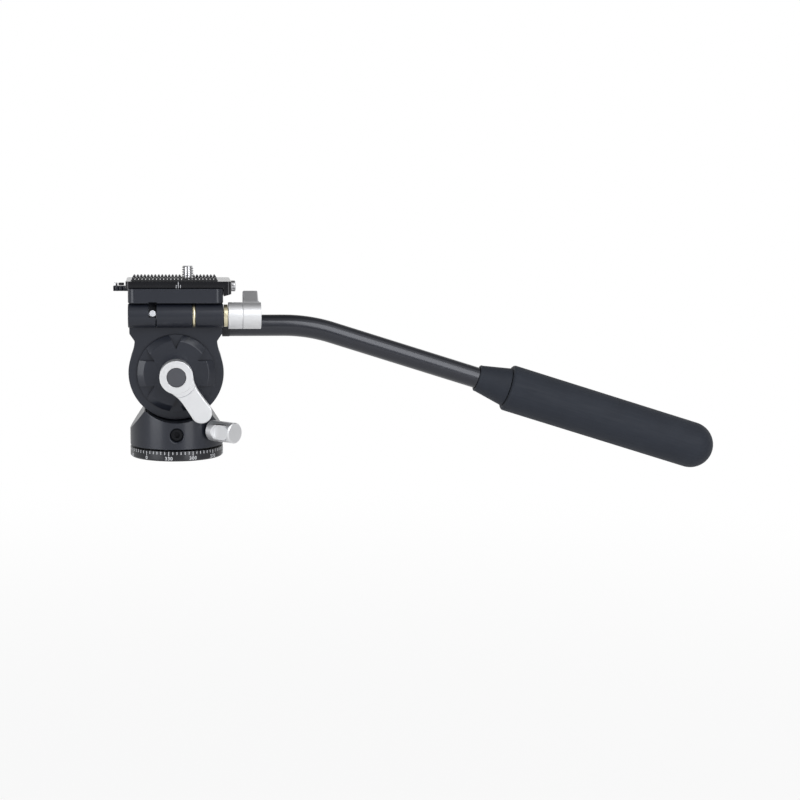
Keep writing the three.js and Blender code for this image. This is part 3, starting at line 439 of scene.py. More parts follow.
def add_node(
    tree: bpy.types.NodeTree, kind: str, settings: dict | None = None, inputs: dict | None = None
) -> bpy.types.Node:
    """Adds a node with its settings and links.

    Args:
        tree: the tree that it joins.
        kind: the node's type.
        settings: the node's own properties.
        inputs: for each input's name or number, a value, the socket that feeds it, or the node
            whose first output does.

    Returns:
        The node.
    """
    node = tree.nodes.new(kind)
    for name, value in (settings or {}).items():
        setattr(node, name, value)
    for name, value in (inputs or {}).items():
        if isinstance(value, bpy.types.Node):
            value = value.outputs[0]
        if isinstance(value, bpy.types.NodeSocket):
            tree.links.new(value, node.inputs[name])
        else:
            node.inputs[name].default_value = value
    return node


class Pattern:
    """A Geometry Nodes tree with named inputs for its sizes, run once on a body."""

    def __init__(self, name: str, sizes: dict[str, float]) -> None:
        """Starts a tree.

        Args:
            name: the tree's name.
            sizes: its named sizes, in millimetres, degrees or counts.
        """
        self.sizes = sizes
        self.tree = bpy.data.node_groups.new(name, "GeometryNodeTree")
        sockets = self.tree.interface
        sockets.new_socket("Body", in_out="INPUT", socket_type="NodeSocketGeometry")
        sockets.new_socket("Body", in_out="OUTPUT", socket_type="NodeSocketGeometry")
        self.keys = {}
        for size, value in sizes.items():
            kind = "NodeSocketInt" if isinstance(value, int) else "NodeSocketFloat"
            made = sockets.new_socket(size, in_out="INPUT", socket_type=kind)
            self.keys[size] = made.identifier
        self.given = self.tree.nodes.new("NodeGroupInput").outputs

    def add(
        self, kind: str, settings: dict | None = None, inputs: dict | None = None
    ) -> bpy.types.Node:
        """Adds a node to the tree."""
        return add_node(self.tree, kind, settings, inputs)

    def run(self, geometry: bpy.types.Node, finish: Finish, body: bpy.types.ID) -> Solid:
        """Ends the tree and runs it.

        Args:
            geometry: the node that makes the shape.
            finish: the finish that is set on it.
            body: the mesh or curve that the tree starts from.

        Returns:
            The outcome as a plain body.
        """
        real = self.add("GeometryNodeRealizeInstances", inputs={0: geometry})
        dressed = self.add("GeometryNodeSetMaterial", inputs={
            "Geometry": real, "Material": finish.material(),
        })
        self.add("NodeGroupOutput", inputs={0: dressed})
        host = linked("pattern", body)
        modifier = host.modifiers.new("pattern", "NODES")
        modifier.node_group = self.tree
        for size, value in self.sizes.items():
            modifier[self.keys[size]] = value
        return Solid(baked(host))


def ring_of(
    solid: Solid, count: int, radius: float, start: float, finish: Finish, long_every: int = 1,
    long_scale: float = 1.0,
) -> Solid:
    """Copies of a body round the pan axis.

    Args:
        solid: the body, at the origin, with +X pointing outwards.
        count: how many copies.
        radius: the circle that they stand on.
        start: the first copy's angle, in degrees.
        finish: the finish that they take.
        long_every: each copy whose number is a multiple of this is a long one.
        long_scale: how much longer a long one is, along Z.

    Returns:
        The copies as one body.
    """
    pattern = Pattern("ring_of_copies", {
        "Count": count, "Radius": radius, "Start": start, "Long Every": long_every,
        "Long Scale": long_scale,
    })
    given = pattern.given
    circle = pattern.add("GeometryNodeMeshCircle", inputs={
        "Vertices": given["Count"], "Radius": given["Radius"],
    })
    index = pattern.add("GeometryNodeInputIndex")
    share = pattern.add(MATH, {"operation": "DIVIDE"}, {0: index, 1: given["Count"]})
    turn = pattern.add(MATH, {"operation": "MULTIPLY"}, {0: share, 1: 2 * math.pi})
    rotation = pattern.add("ShaderNodeCombineXYZ", inputs={"Z": turn})
    rest = pattern.add(MATH, {"operation": "MODULO"}, {0: index, 1: given["Long Every"]})
    is_long = pattern.add(MATH, {"operation": "LESS_THAN"}, {0: rest, 1: 0.5})
    excess = pattern.add(MATH, {"operation": "SUBTRACT"}, {0: given["Long Scale"], 1: 1.0})
    more = pattern.add(MATH, {"operation": "MULTIPLY"}, {0: is_long, 1: excess})
    height = pattern.add(MATH, {"operation": "ADD"}, {0: more, 1: 1.0})
    scale = pattern.add("ShaderNodeCombineXYZ", inputs={"X": 1.0, "Y": 1.0, "Z": height})
    copies = pattern.add("GeometryNodeInstanceOnPoints", inputs={
        "Points": circle, "Instance": given["Body"], "Rotation": rotation, "Scale": scale,
    })
    start_angle = pattern.add(MATH, {"operation": "RADIANS"}, {0: given["Start"]})
    start_turn = pattern.add("ShaderNodeCombineXYZ", inputs={"Z": start_angle})
    turned = pattern.add("GeometryNodeTransform", inputs={
        "Geometry": copies, "Rotation": start_turn,
    })
    return pattern.run(turned, finish, solid.mesh)


def row_of(solid: Solid, count: int, pitch: float, finish: Finish) -> Solid:
    """Copies of a body in a row along +X, the first where the body is.

    Args:
        solid: the body.
        count: how many copies.
        pitch: the distance between them.
        finish: the finish that they take.

    Returns:
        The copies as one body.
    """
    pattern = Pattern("row_of_copies", {"Count": count, "Pitch": pitch})
    given = pattern.given
    step = pattern.add("ShaderNodeCombineXYZ", inputs={"X": given["Pitch"]})
    line = pattern.add("GeometryNodeMeshLine", inputs={"Count": given["Count"], "Offset": step})
    copies = pattern.add("GeometryNodeInstanceOnPoints", inputs={
        "Points": line, "Instance": given["Body"],
    })
    return pattern.run(copies, finish, solid.mesh)


def threaded(
    rod: Solid, radius: float, pitch: float, depth: float, span: Point, finish: Finish
) -> Solid:
    """Cuts a screw thread into a finely ringed rod or bore on the Z axis.

    Args:
        rod: the body.
        radius: the radius of the wall that takes the thread.
        pitch: the thread's pitch.
        depth: how deep it is; below zero it goes outwards, as in a bore.
        span: where it starts and ends along Z.
        finish: the finish that the body takes.

    Returns:
        The threaded body.
    """
    pattern = Pattern("screw_thread", {
        "Radius": radius, "Pitch": pitch, "Depth": depth, "Low": span[0], "High": span[1],
    })
    given = pattern.given
    position = pattern.add("GeometryNodeInputPosition")
    x, y, z = pattern.add("ShaderNodeSeparateXYZ", inputs={0: position}).outputs
    # A triangle wave along the height, moved by one pitch in a full turn
    angle = pattern.add(MATH, {"operation": "ARCTAN2"}, {0: y, 1: x})
    turn = pattern.add(MATH, {"operation": "DIVIDE"}, {0: angle, 1: 2 * math.pi})
    height = pattern.add(MATH, {"operation": "DIVIDE"}, {0: z, 1: given["Pitch"]})
    phase = pattern.add(MATH, {"operation": "SUBTRACT"}, {0: height, 1: turn})
    half_wave = pattern.add(MATH, {"operation": "PINGPONG"}, {0: phase, 1: 0.5})
    wave = pattern.add(MATH, {"operation": "MULTIPLY"}, {0: half_wave, 1: 2.0})
    # Only the wall between both ends takes it
    flat = pattern.add("ShaderNodeCombineXYZ", inputs={"X": x, "Y": y})
    length = pattern.add("ShaderNodeVectorMath", {"operation": "LENGTH"}, {0: flat})
    on_wall = pattern.add(MATH, {"operation": "COMPARE"}, {
        0: length.outputs["Value"], 1: given["Radius"], 2: 0.02,
    })
    above = pattern.add(MATH, {"operation": "GREATER_THAN"}, {0: z, 1: given["Low"]})
    below = pattern.add(MATH, {"operation": "LESS_THAN"}, {0: z, 1: given["High"]})
    between = pattern.add(MATH, {"operation": "MULTIPLY"}, {0: above, 1: below})
    mask = pattern.add(MATH, {"operation": "MULTIPLY"}, {0: on_wall, 1: between})
    sunk = pattern.add(MATH, {"operation": "MULTIPLY"}, {0: wave, 1: given["Depth"]})
    masked = pattern.add(MATH, {"operation": "MULTIPLY"}, {0: sunk, 1: mask})
    inward = pattern.add(MATH, {"operation": "MULTIPLY"}, {0: masked, 1: -1.0})
    outward = pattern.add("ShaderNodeVectorMath", {"operation": "NORMALIZE"}, {0: flat})
    offset = pattern.add("ShaderNodeVectorMath", {"operation": "SCALE"}, {
        0: outward, "Scale": inward,
    })
    moved = pattern.add("GeometryNodeSetPosition", inputs={
        "Geometry": given["Body"], "Offset": offset,
    })
    return pattern.run(moved, finish, rod.mesh)


def swept(points: list[Place], radius: float, finish: Finish) -> Solid:
    """A round bar that follows a line.

    Args:
        points: the line.
        radius: the bar's radius.
        finish: the finish that it takes.

    Returns:
        The bar, with closed ends.
    """
    line = bpy.data.curves.new("line", "CURVE")
    line.dimensions = "3D"
    spline = line.splines.new("POLY")
    spline.points.add(len(points) - 1)
    for point, place in zip(spline.points, points):
        point.co = (*place, 1)
    pattern = Pattern("swept_tube", {"Radius": radius, "Sides": 64})
    given = pattern.given
    circle = pattern.add("GeometryNodeCurvePrimitiveCircle", inputs={
        "Resolution": given["Sides"], "Radius": given["Radius"],
    })
    bar = pattern.add("GeometryNodeCurveToMesh", inputs={
        "Curve": given["Body"], "Profile Curve": circle, "Fill Caps": True,
    })
    return pattern.run(bar, finish, line)


# Finishes


def linear(colour: str) -> tuple[float, float, float, float]:
    """The linear colour of an sRGB hex value."""
    parts = [int(colour[i:i + 2], 16) / 255 for i in (1, 3, 5)]
    return (*[p / 12.92 if p <= 0.04045 else ((p + 0.055) / 1.055) ** 2.4 for p in parts], 1.0)


class Grain(Enum):
    """How a surface's fine pattern runs, as the stretch of the pattern along each axis."""

    EVEN = (1.0, 1.0, 1.0)
    LENGTHWISE = (0.05, 1.0, 1.0)


@dataclass(frozen=True)
class Finish:
    """A surface: what it is made of and how it was made.

    Attributes:
        name: the material's name.
        colour: its sRGB colour.
        tint: the sRGB colour that it drifts to.
        metallic: 1 for bare metal.
        roughness: how dull it is.
        spread: how much the roughness varies.
        grain: the size of its fine pattern, in millimetres.
        relief: the depth of that pattern, in millimetres.
        run: how the pattern runs.
        turn: the turn of the pattern about Y, in degrees.
        specular: the strength of the reflection of a surface that isn't metal.
        sheen: the soft shine of a fibrous or foamed surface.
        coat: how much a clear skin, such as an oxide or a moulding skin, shines over it.
        coat_roughness: how dull that skin is.
        drift: the size of the patches of tint, in millimetres.
    """

    name: str
    colour: str
    tint: str
    metallic: float = 0.0
    roughness: float = 0.5
    spread: float = 0.05
    grain: float = 0.2
    relief: float = 0.004
    run: Grain = Grain.EVEN
    turn: float = 0.0
    specular: float = 0.5
    sheen: float = 0.0
    coat: float = 0.0
    coat_roughness: float = 0.2
    drift: float = 9.0

    def material(self) -> bpy.types.Material:
        """Makes the finish's material, once.

        Returns:
            The material.
        """
        known = bpy.data.materials.get(self.name)
        if known:
            return known
        material = bpy.data.materials.new(self.name)
        material.use_nodes = True
        tree = material.node_tree
        tree.nodes.clear()
        place = add_node(tree, "ShaderNodeTexCoord").outputs["Object"]
        run = add_node(tree, "ShaderNodeMapping", {"vector_type": "TEXTURE"}, {
            "Vector": place, "Rotation": (0, math.radians(self.turn), 0),
            "Scale": [1 / s for s in self.run.value],
        })
        patches, fine = [
            add_node(tree, "ShaderNodeTexNoise", inputs={
                "Vector": vector, "Scale": 1 / (size * MM), "Detail": detail, "Roughness": 0.55,
            }).outputs["Fac"]
            for vector, size, detail in ((place, self.drift, 3.0), (run, self.grain, 2.0))
        ]
        mixed = add_node(tree, "ShaderNodeMix", {"data_type": "RGBA"}, {
            "Factor": patches, "A": linear(self.colour), "B": linear(self.tint),
        })
        rough = add_node(tree, "ShaderNodeMapRange", inputs={
            "Value": fine, "From Min": 0.3, "From Max": 0.7,
            "To Min": self.roughness - self.spread, "To Max": self.roughness + self.spread,
        })
        bump = add_node(tree, "ShaderNodeBump", inputs={
            "Strength": 1.0, "Distance": self.relief * MM, "Height": fine,
        })
        shader = add_node(tree, "ShaderNodeBsdfPrincipled", inputs={
            "Base Color": mixed.outputs["Result"], "Metallic": self.metallic, "Roughness": rough,
            "Specular IOR Level": self.specular, "Sheen Weight": self.sheen,
            "Sheen Roughness": 0.5, "Coat Weight": self.coat,
            "Coat Roughness": self.coat_roughness, "Coat IOR": 1.6, "Normal": bump,
        })
        add_node(tree, "ShaderNodeOutputMaterial", inputs={"Surface": shader})
        return material


# Aluminium, bead blasted and dyed black in the anodising bath: an even, faintly grainy dark grey
BLACK_ANODISED = Finish(
    "black_anodised_aluminium", "#1b1f2a", "#20242f", metallic=0.35, roughness=0.46, grain=0.35,
    relief=0.006, coat=0.35, coat_roughness=0.18)
# The plate's aluminium, milled after blasting and dyed deeper: the darkest and smoothest black
PLATE_BLACK = Finish(
    "deep_black_anodised_aluminium", "#0d0e14", "#12131a", metallic=0.3, roughness=0.3,
    grain=0.35, relief=0.001, specular=0.2, coat=0.5, coat_roughness=0.08)
# Aluminium tube, drawn and polished before it was dyed black: the lamps stand in it as a line
TUBE_BLACK = Finish(
    "polished_black_tube", "#191c27", "#1f222d", metallic=0.55, roughness=0.34, grain=0.5,
    relief=0.002, coat=0.7, coat_roughness=0.17)
# Aluminium, turned smooth and dyed black, under the printed scale: darker, with a soft gleam
SCALE_BLACK = Finish(
    "turned_black_aluminium", "#16181e", "#1a1c22", metallic=0.6, roughness=0.4, grain=0.4,
    relief=0.003, coat=0.5, coat_roughness=0.2)
# Steel blackened in a hot oxide bath: nearly black, with a dull gleam
BLACK_STEEL = Finish(
    "black_oxide_steel", "#1a1b1e", "#202125", metallic=0.8, roughness=0.42, grain=0.4)
# Aluminium, bead blasted and anodised clear: bright, soft and slightly cold
SATIN_SILVER = Finish(
    "satin_silver_aluminium", "#ebecee", "#f2f2f4", metallic=0.92, roughness=0.42, grain=0.3,
    relief=0.006)
# Steel with a bright chromium plating: sharp reflections
CHROME = Finish(
    "chromed_steel", "#dcdcde", "#e8e8ea", metallic=1.0, roughness=0.12, grain=0.6, relief=0.001)
# Bare steel, ground and polished: bright, with a soft edge to what it reflects
GROUND_STEEL = Finish(
    "ground_steel", "#d6d8dd", "#e0e2e7", metallic=1.0, roughness=0.34, grain=0.5, relief=0.002)
# Turned steel with a thin coat of zinc: dull and cold
ZINC_STEEL = Finish(
    "zinc_plated_steel", "#8d8f94", "#a0a2a8", metallic=1.0, roughness=0.32, grain=0.4)
# Turned brass, left bare: warm and fairly bright
TURNED_BRASS = Finish(
    "turned_brass", "#eadfb8", "#f2e9cb", metallic=1.0, roughness=0.3, grain=0.4, relief=0.002)
# ABS, moulded against a finely eroded tool: dark grey and matt
GREY_ABS = Finish(
    "grey_moulded_abs", "#45464c", "#4c4d53", roughness=0.55, grain=0.3, relief=0.006)
# Nylon with carbon black: nearly black, a dull gleam
BLACK_NYLON = Finish(
    "black_moulded_nylon", "#232428", "#2a2b30", roughness=0.5, grain=0.4, relief=0.006)
# Acetal, uncoloured, as friction discs and pads are made of: milky white, half matt
WHITE_ACETAL = Finish("white_acetal", "#d8d8d2", "#e2e2dc", roughness=0.45, grain=0.5)
# Nitrile rubber, moulded, with the dusty bloom that it gets: dark and fairly matt
BLACK_RUBBER = Finish(
    "black_nitrile_rubber", "#1d1e22", "#242529", roughness=0.5, grain=0.25, relief=0.004)
# The same rubber between the ridges, where nothing wears off the shine that the mould gave it
SHINY_RUBBER = Finish(
    "glossy_nitrile_rubber", "#17181c", "#1c1d21", roughness=0.3, grain=0.25, relief=0.0,
    coat=1.0, coat_roughness=0.04)
# Closed-cell foam rubber, ground round on a mandrel: matt, with faint lengthwise streaks
FOAM_GRIP = Finish(
    "ground_foam_rubber", "#20242d", "#292e38", roughness=0.7, spread=0.06, grain=0.9,
    relief=0.02, run=Grain.LENGTHWISE, turn=17.5, specular=0.35, sheen=0.04, drift=14.0)
# The same rubber moulded as a cone: matt, without the streaks
CONE_RUBBER = Finish(
    "moulded_cone_rubber", "#1f232c", "#252a34", roughness=0.65, grain=0.35, relief=0.008,
    specular=0.35, sheen=0.04)
# Screen printing ink, white, and worn to a light grey: flat and matt
WHITE_INK = Finish(
    "white_printing_ink", "#c4c5c9", "#d2d3d6", roughness=0.6, grain=0.3, relief=0.001)


# The head's sub-assemblies


@dataclass
class PanBase:
    """The fixed base: a ring with its degree scale, a threaded insert and three screws."""

    radius: float = 25.0
    height: float = 5.45
    edge: float = 0.7
    lip: float = 2.4
    mouth: float = 5.8
    neck: float = 12.3
    insert: Point = (3.2, 10.8)
    insert_radius: float = 6.4
    insert_bore: float = 4.3
    insert_pitch: float = 1.5875
    insert_rings: int = 64
    thread_share: float = 0.6
    screw_count: int = 3
    screw_circle: float = 8.9
    screw_head: float = 2.7
    screw_rim: float = 0.2
    screw_shank: float = 1.5
    screw_span: Point = (0.2, 6.8)
    screw_socket: Point = (1.15, 1.3)
    tick_size: Place = (0.04, 0.4, 1.5)
    tick_top: float = 5.2
    tick_count: int = 72
    long_tick: float = 1.45
    number_step: int = 30
    number_height: float = 1.75
    number_foot: float = 0.82
    number_bold: float = 0.06
    number_spacing: float = 1.14
    digit_share: float = 0.69
    zero_angle: float = -130.0
    print_rise: float = 0.02

    def build(self) -> None:
        """Builds the ring, the scale, the insert and the screws."""
        self._ring()
        self._scale()
        self._insert()
        self._screws()

    def _ring(self) -> None:
        """The turned ring, with three countersunk holes underneath."""
        ring = Solid.lathe([
            (self.mouth, 0), (self.radius - self.edge, 0), (self.radius, self.edge),
            (self.radius, self.height), (self.neck, self.height), (self.neck, self.lip),
            (self.mouth, self.lip),
        ], steps=144)
        head = self.screw_head + SEAT
        shank = self.screw_shank + SEAT
        cone = [
            (0, -OVERRUN), (head, -OVERRUN), (head, 0), (shank, head - shank),
            (shank, self.height), (0, self.height),
        ]
        circle = self.screw_circle
        turns = [math.radians(90 + 360 * i / self.screw_count) for i in range(self.screw_count)]
        holes = [
            Solid.lathe(cone, at=(circle * math.cos(a), circle * math.sin(a), 0), steps=48)
            for a in turns
        ]
        ring.cut(*holes).rounded(0.2).piece(
            "base_ring_turned", "base", SCALE_BLACK, "scale_black", ["base_ring"])

    def _scale(self) -> None:
        """A tick every five degrees, a longer one and a number every thirty."""
        thick, wide, long = self.tick_size
        tick = Solid.block((-thick, 0), (-wide / 2, wide / 2), (-long, 0)).placed(
            Matrix.Translation((self.print_rise, 0, 0)))
        ticks = ring_of(
            tick, self.tick_count, self.radius, self.zero_angle, WHITE_INK,
            self.tick_count * self.number_step // 360, self.long_tick)
        ticks.mesh.transform(Matrix.Translation((0, 0, self.tick_top)))
        numbers = [self._number(value) for value in range(0, 360, self.number_step)]
        merged([ticks, *numbers]).piece("degree_scale_print", "base", WHITE_INK, "scale_black")

    def _number(self, value: int) -> Solid:
        """One printed number, bent round the ring, below its long tick.

        Args:
            value: the number, in degrees.

        Returns:
            Its digits.
        """
        text = bpy.data.curves.new("number", "FONT")
        text.body = str(value)
        text.align_x = "CENTER"
        text.size = self.number_height / self.digit_share
        text.offset = self.number_bold
        text.space_character = self.number_spacing
        text.extrude = 0.5 * self.print_rise
        text.resolution_u = 4
        mesh = baked(linked("number", text))
        centre = math.radians(self.zero_angle - value)
        for vertex in mesh.vertices:
            x, y, z = vertex.co
            angle = centre + x / self.radius
            out = self.radius + z + 0.5 * self.print_rise
            vertex.co = (out * math.cos(angle), out * math.sin(angle), self.number_foot + y)
        return Solid(mesh)

    def _insert(self) -> None:
        """The threaded steel insert that takes the tripod's screw."""
        low, high = self.insert
        count = self.insert_rings
        rings = [low + (high - low) * i / count for i in range(count + 1)]
        tube = Solid.lathe([
            (self.insert_radius, low), (self.insert_radius, high),
            *[(self.insert_bore, z) for z in reversed(rings)],
        ], steps=72)
        depth = self.thread_share * self.insert_pitch
        cut = threaded(
            tube, self.insert_bore, self.insert_pitch, -depth, (low + 0.1, high - 0.1), ZINC_STEEL)
        cut.piece("thread_insert_cut", "base", ZINC_STEEL, "steel", ["thread_insert"])

    def _screws(self) -> None:
        """Three countersunk screws, each with a hexagon socket."""
        low, high = self.screw_span
        rim = low + self.screw_rim
        neck = rim + self.screw_head - self.screw_shank
        socket, depth = self.screw_socket
        screw = Solid.lathe([
            (0, low), (self.screw_head, low), (self.screw_head, rim), (self.screw_shank, neck),
            (self.screw_shank, high), (0, high),
        ], steps=48).cut(Solid.rod(socket, (low - OVERRUN, low + depth), steps=6))
        screws = ring_of(screw, self.screw_count, self.screw_circle, 90.0, ZINC_STEEL)
        nodes = [f"base_screw_{i + 1}" for i in range(self.screw_count)]
        screws.piece("base_screws_socketed", "base", ZINC_STEEL, "steel", nodes)


@dataclass
class PanBody:
    """The turning housing: cradle, slanted flanks, upright, front hole and the screw inside it."""

    radius: float = 25.0
    bottom: float = 6.3
    tilt_axis: float = 46.5
    cradle: float = 25.9
    crest: float = 16.8
    crest_round: float = 1.3
    flank_foot: float = 15.3
    upright: Place = (13.0, 5.5, 1.0)
    bore: float = 17.3
    bore_top: float = 18.1
    retainer_bore: float = 20.3
    retainer_top: float = 9.7
    hole: float = 3.45
    hole_height: float = 14.0
    hole_chamfer: float = 0.9
    break_in: float = 0.5
    lock_bore: float = 2.8
    lock_height: float = 15.9
    lock_angle: float = -45.0
    drag_screw: Point = (-22.9, -19.3)
    drag_socket: Point = (1.7, -20.7)
    axle: float = 3.0
    axle_span: Point = (-32.1, 14.8)
    axle_head: Point = (6.5, 16.9)
    axle_socket: Point = (2.9, 15.3)

    def build(self) -> None:
        """Builds the housing, the drag screw and the axle."""
        self._housing()
        self._drag_screw()
        self._axle()

    def _cradle_outline(self) -> list[Point]:
        """The housing from the front: two flanks that meet the cradle at rounded crests.

        Returns:
            The outline's points.
        """
        angle = math.acos(self.crest / self.cradle)
        crest = Vector((self.crest, self.tilt_axis - self.cradle * math.sin(angle)))
        foot = Vector((self.radius, self.flank_foot))
        down = (foot - crest).normalized()
        end = foot + down * OVERRUN
        top = crest + down * self.crest_round
        sweep = math.degrees(angle + self.crest_round / self.cradle)
        hollow = arc((0, self.tilt_axis), self.cradle, -sweep, sweep - 180, 48)
        right = bend(tuple(top), tuple(crest), hollow[0], 8)
        left = [(-x, z) for x, z in reversed(right)]
        foot_line = self.bottom - OVERRUN
        return [
            (-end.x, foot_line), (end.x, foot_line), tuple(end), *right[:-1], *hollow, *left[1:],
            (-end.x, end.y),
        ]

    def _housing(self) -> None:
        """The housing, milled from a round bar."""
        reach = self.radius + OVERRUN
        half, side, root = self.upright
        bar = Solid.rod(self.radius, (self.bottom, self.tilt_axis), steps=144)
        milled = bar.within(Solid.prism(self._cradle_outline(), (-reach, reach), View.FRONT))
        floor = self.tilt_axis - self.cradle - root
        upright = [(-half, floor), (half, floor), *arc((0, self.tilt_axis), half, 0, 180, 40)]
        front = (0, 0, self.hole_height)
        mouth = self.hole_chamfer - self.radius
        flare = self.hole + self.hole_chamfer + OVERRUN
        inside = self.bore - self.break_in
        lock = Matrix.Translation((0, 0, self.lock_height)) @ Matrix.Rotation(
            math.radians(self.lock_angle), 4, "Z")
        body = milled.joined(Solid.prism(upright, (-side, side), View.FRONT)).cut(
            Solid.lathe([
                (0, 0), (self.retainer_bore, 0), (self.retainer_bore, self.retainer_top),
                (self.bore, self.retainer_top), (self.bore, self.bore_top), (0, self.bore_top),
            ]),
            Solid.lathe([
                (0, -reach), (flare, -reach), (self.hole, mouth), (self.hole, -inside),
                (0, -inside),
            ], Axis.Y, front, 64),
            Solid.rod(self.lock_bore, (inside, reach), Axis.X, steps=48).placed(lock),
            Solid.rod(self.axle + SEAT, (-half, half), Axis.Y, (0, 0, self.tilt_axis), 64),
        )
        body.rounded(0.3).piece(
            "pan_housing", "pan", BLACK_ANODISED, "black_anodised", ["pan_body"])

    def _drag_screw(self) -> None:
        """The socket screw that lies deep in the front hole."""
        front = (0, 0, self.hole_height)
        socket, floor = self.drag_socket
        screw = Solid.rod(self.hole - SEAT, self.drag_screw, Axis.Y, front, 48)
        screw = screw.cut(Solid.rod(socket, (-self.radius, floor), Axis.Y, front, 6)).rounded(0.2)
        screw.piece("pan_drag_screw_socketed", "pan", BLACK_STEEL, "steel", ["pan_drag_screw"])

    def _axle(self) -> None:
        """The axle bolt, with its socket head in the far cover."""
        axis = (0, 0, self.tilt_axis)
        near, shoulder = self.axle_span
        head, far = self.axle_head
        socket, floor = self.axle_socket
        bolt = Solid.lathe([
            (0, near), (self.axle, near), (self.axle, shoulder), (head, shoulder), (head, far),
            (0, far),
        ], Axis.Y, axis, 64)
        bolt = bolt.cut(Solid.rod(socket, (floor, far + OVERRUN), Axis.Y, axis, 6)).rounded(0.25)
        bolt.piece("tilt_axle_bolt", "pan", ZINC_STEEL, "steel", ["tilt_axle"])


@dataclass
class PanLock:
    """The pan lock: a knob with two milled flats on a threaded stud, between front and handle."""

    height: float = 15.9
    angle: float = -45.0
    span: Point = (26.5, 43.5)
    radius: float = 5.5
    flat: float = 3.7
    barrel: float = 4.6
    flange: float = 1.7
    cutter: float = 4.6
    knob_wall: float = 4.0
    stud: Point = (20.8, 39.2)
    stud_radius: float = 2.5
    stud_pitch: float = 0.8
    stud_thread: float = 0.4
    stud_rings: int = 150

    def build(self) -> None:
        """Builds the knob and the stud."""
        place = Matrix.Translation((0, 0, self.height)) @ Matrix.Rotation(
            math.radians(self.angle), 4, "Z")
        self._knob(place)
        self._stud(place)

    def _knob(self, place: Matrix) -> None:
        """The knob, with its flats between a barrel and a flange.

        Args:
            place: the move that stands it in the body.
        """
        low, high = self.span
        outside = self.radius + OVERRUN
        ends = (low + self.barrel + self.cutter, high - self.flange - self.cutter)
        flats = slot_outline(ends, self.cutter)
        bore = (low - OVERRUN, high - self.knob_wall)
        knob = Solid.rod(self.radius, self.span, Axis.X).cut(
            Solid.prism(flats, (self.flat, outside), View.FRONT),
            Solid.prism(flats, (-outside, -self.flat), View.FRONT),
            Solid.rod(self.stud_radius + SEAT, bore, Axis.X, steps=48),
        )
        knob.rounded(0.55, 1).placed(place).piece(
            "pan_lock_knob_milled", "pan_knob", SATIN_SILVER, "satin_silver", ["pan_lock_knob"])

    def _stud(self, place: Matrix) -> None:
        """The stud, threaded over its whole length.

        Args:
            place: the move that stands it in the body.
        """
        start, end = self.stud
        count = self.stud_rings
        rings = [start + (end - start) * i / count for i in range(count + 1)]
        rod = Solid.lathe(
            [(0, start), *[(self.stud_radius, z) for z in rings], (0, end)], steps=40)
        stud = threaded(
            rod, self.stud_radius, self.stud_pitch, self.stud_thread, self.stud, ZINC_STEEL)
        stud.placed(place @ Axis.X.value).piece(
            "pan_lock_stud_threaded", "pan_knob", ZINC_STEEL, "steel", ["pan_lock_stud"])


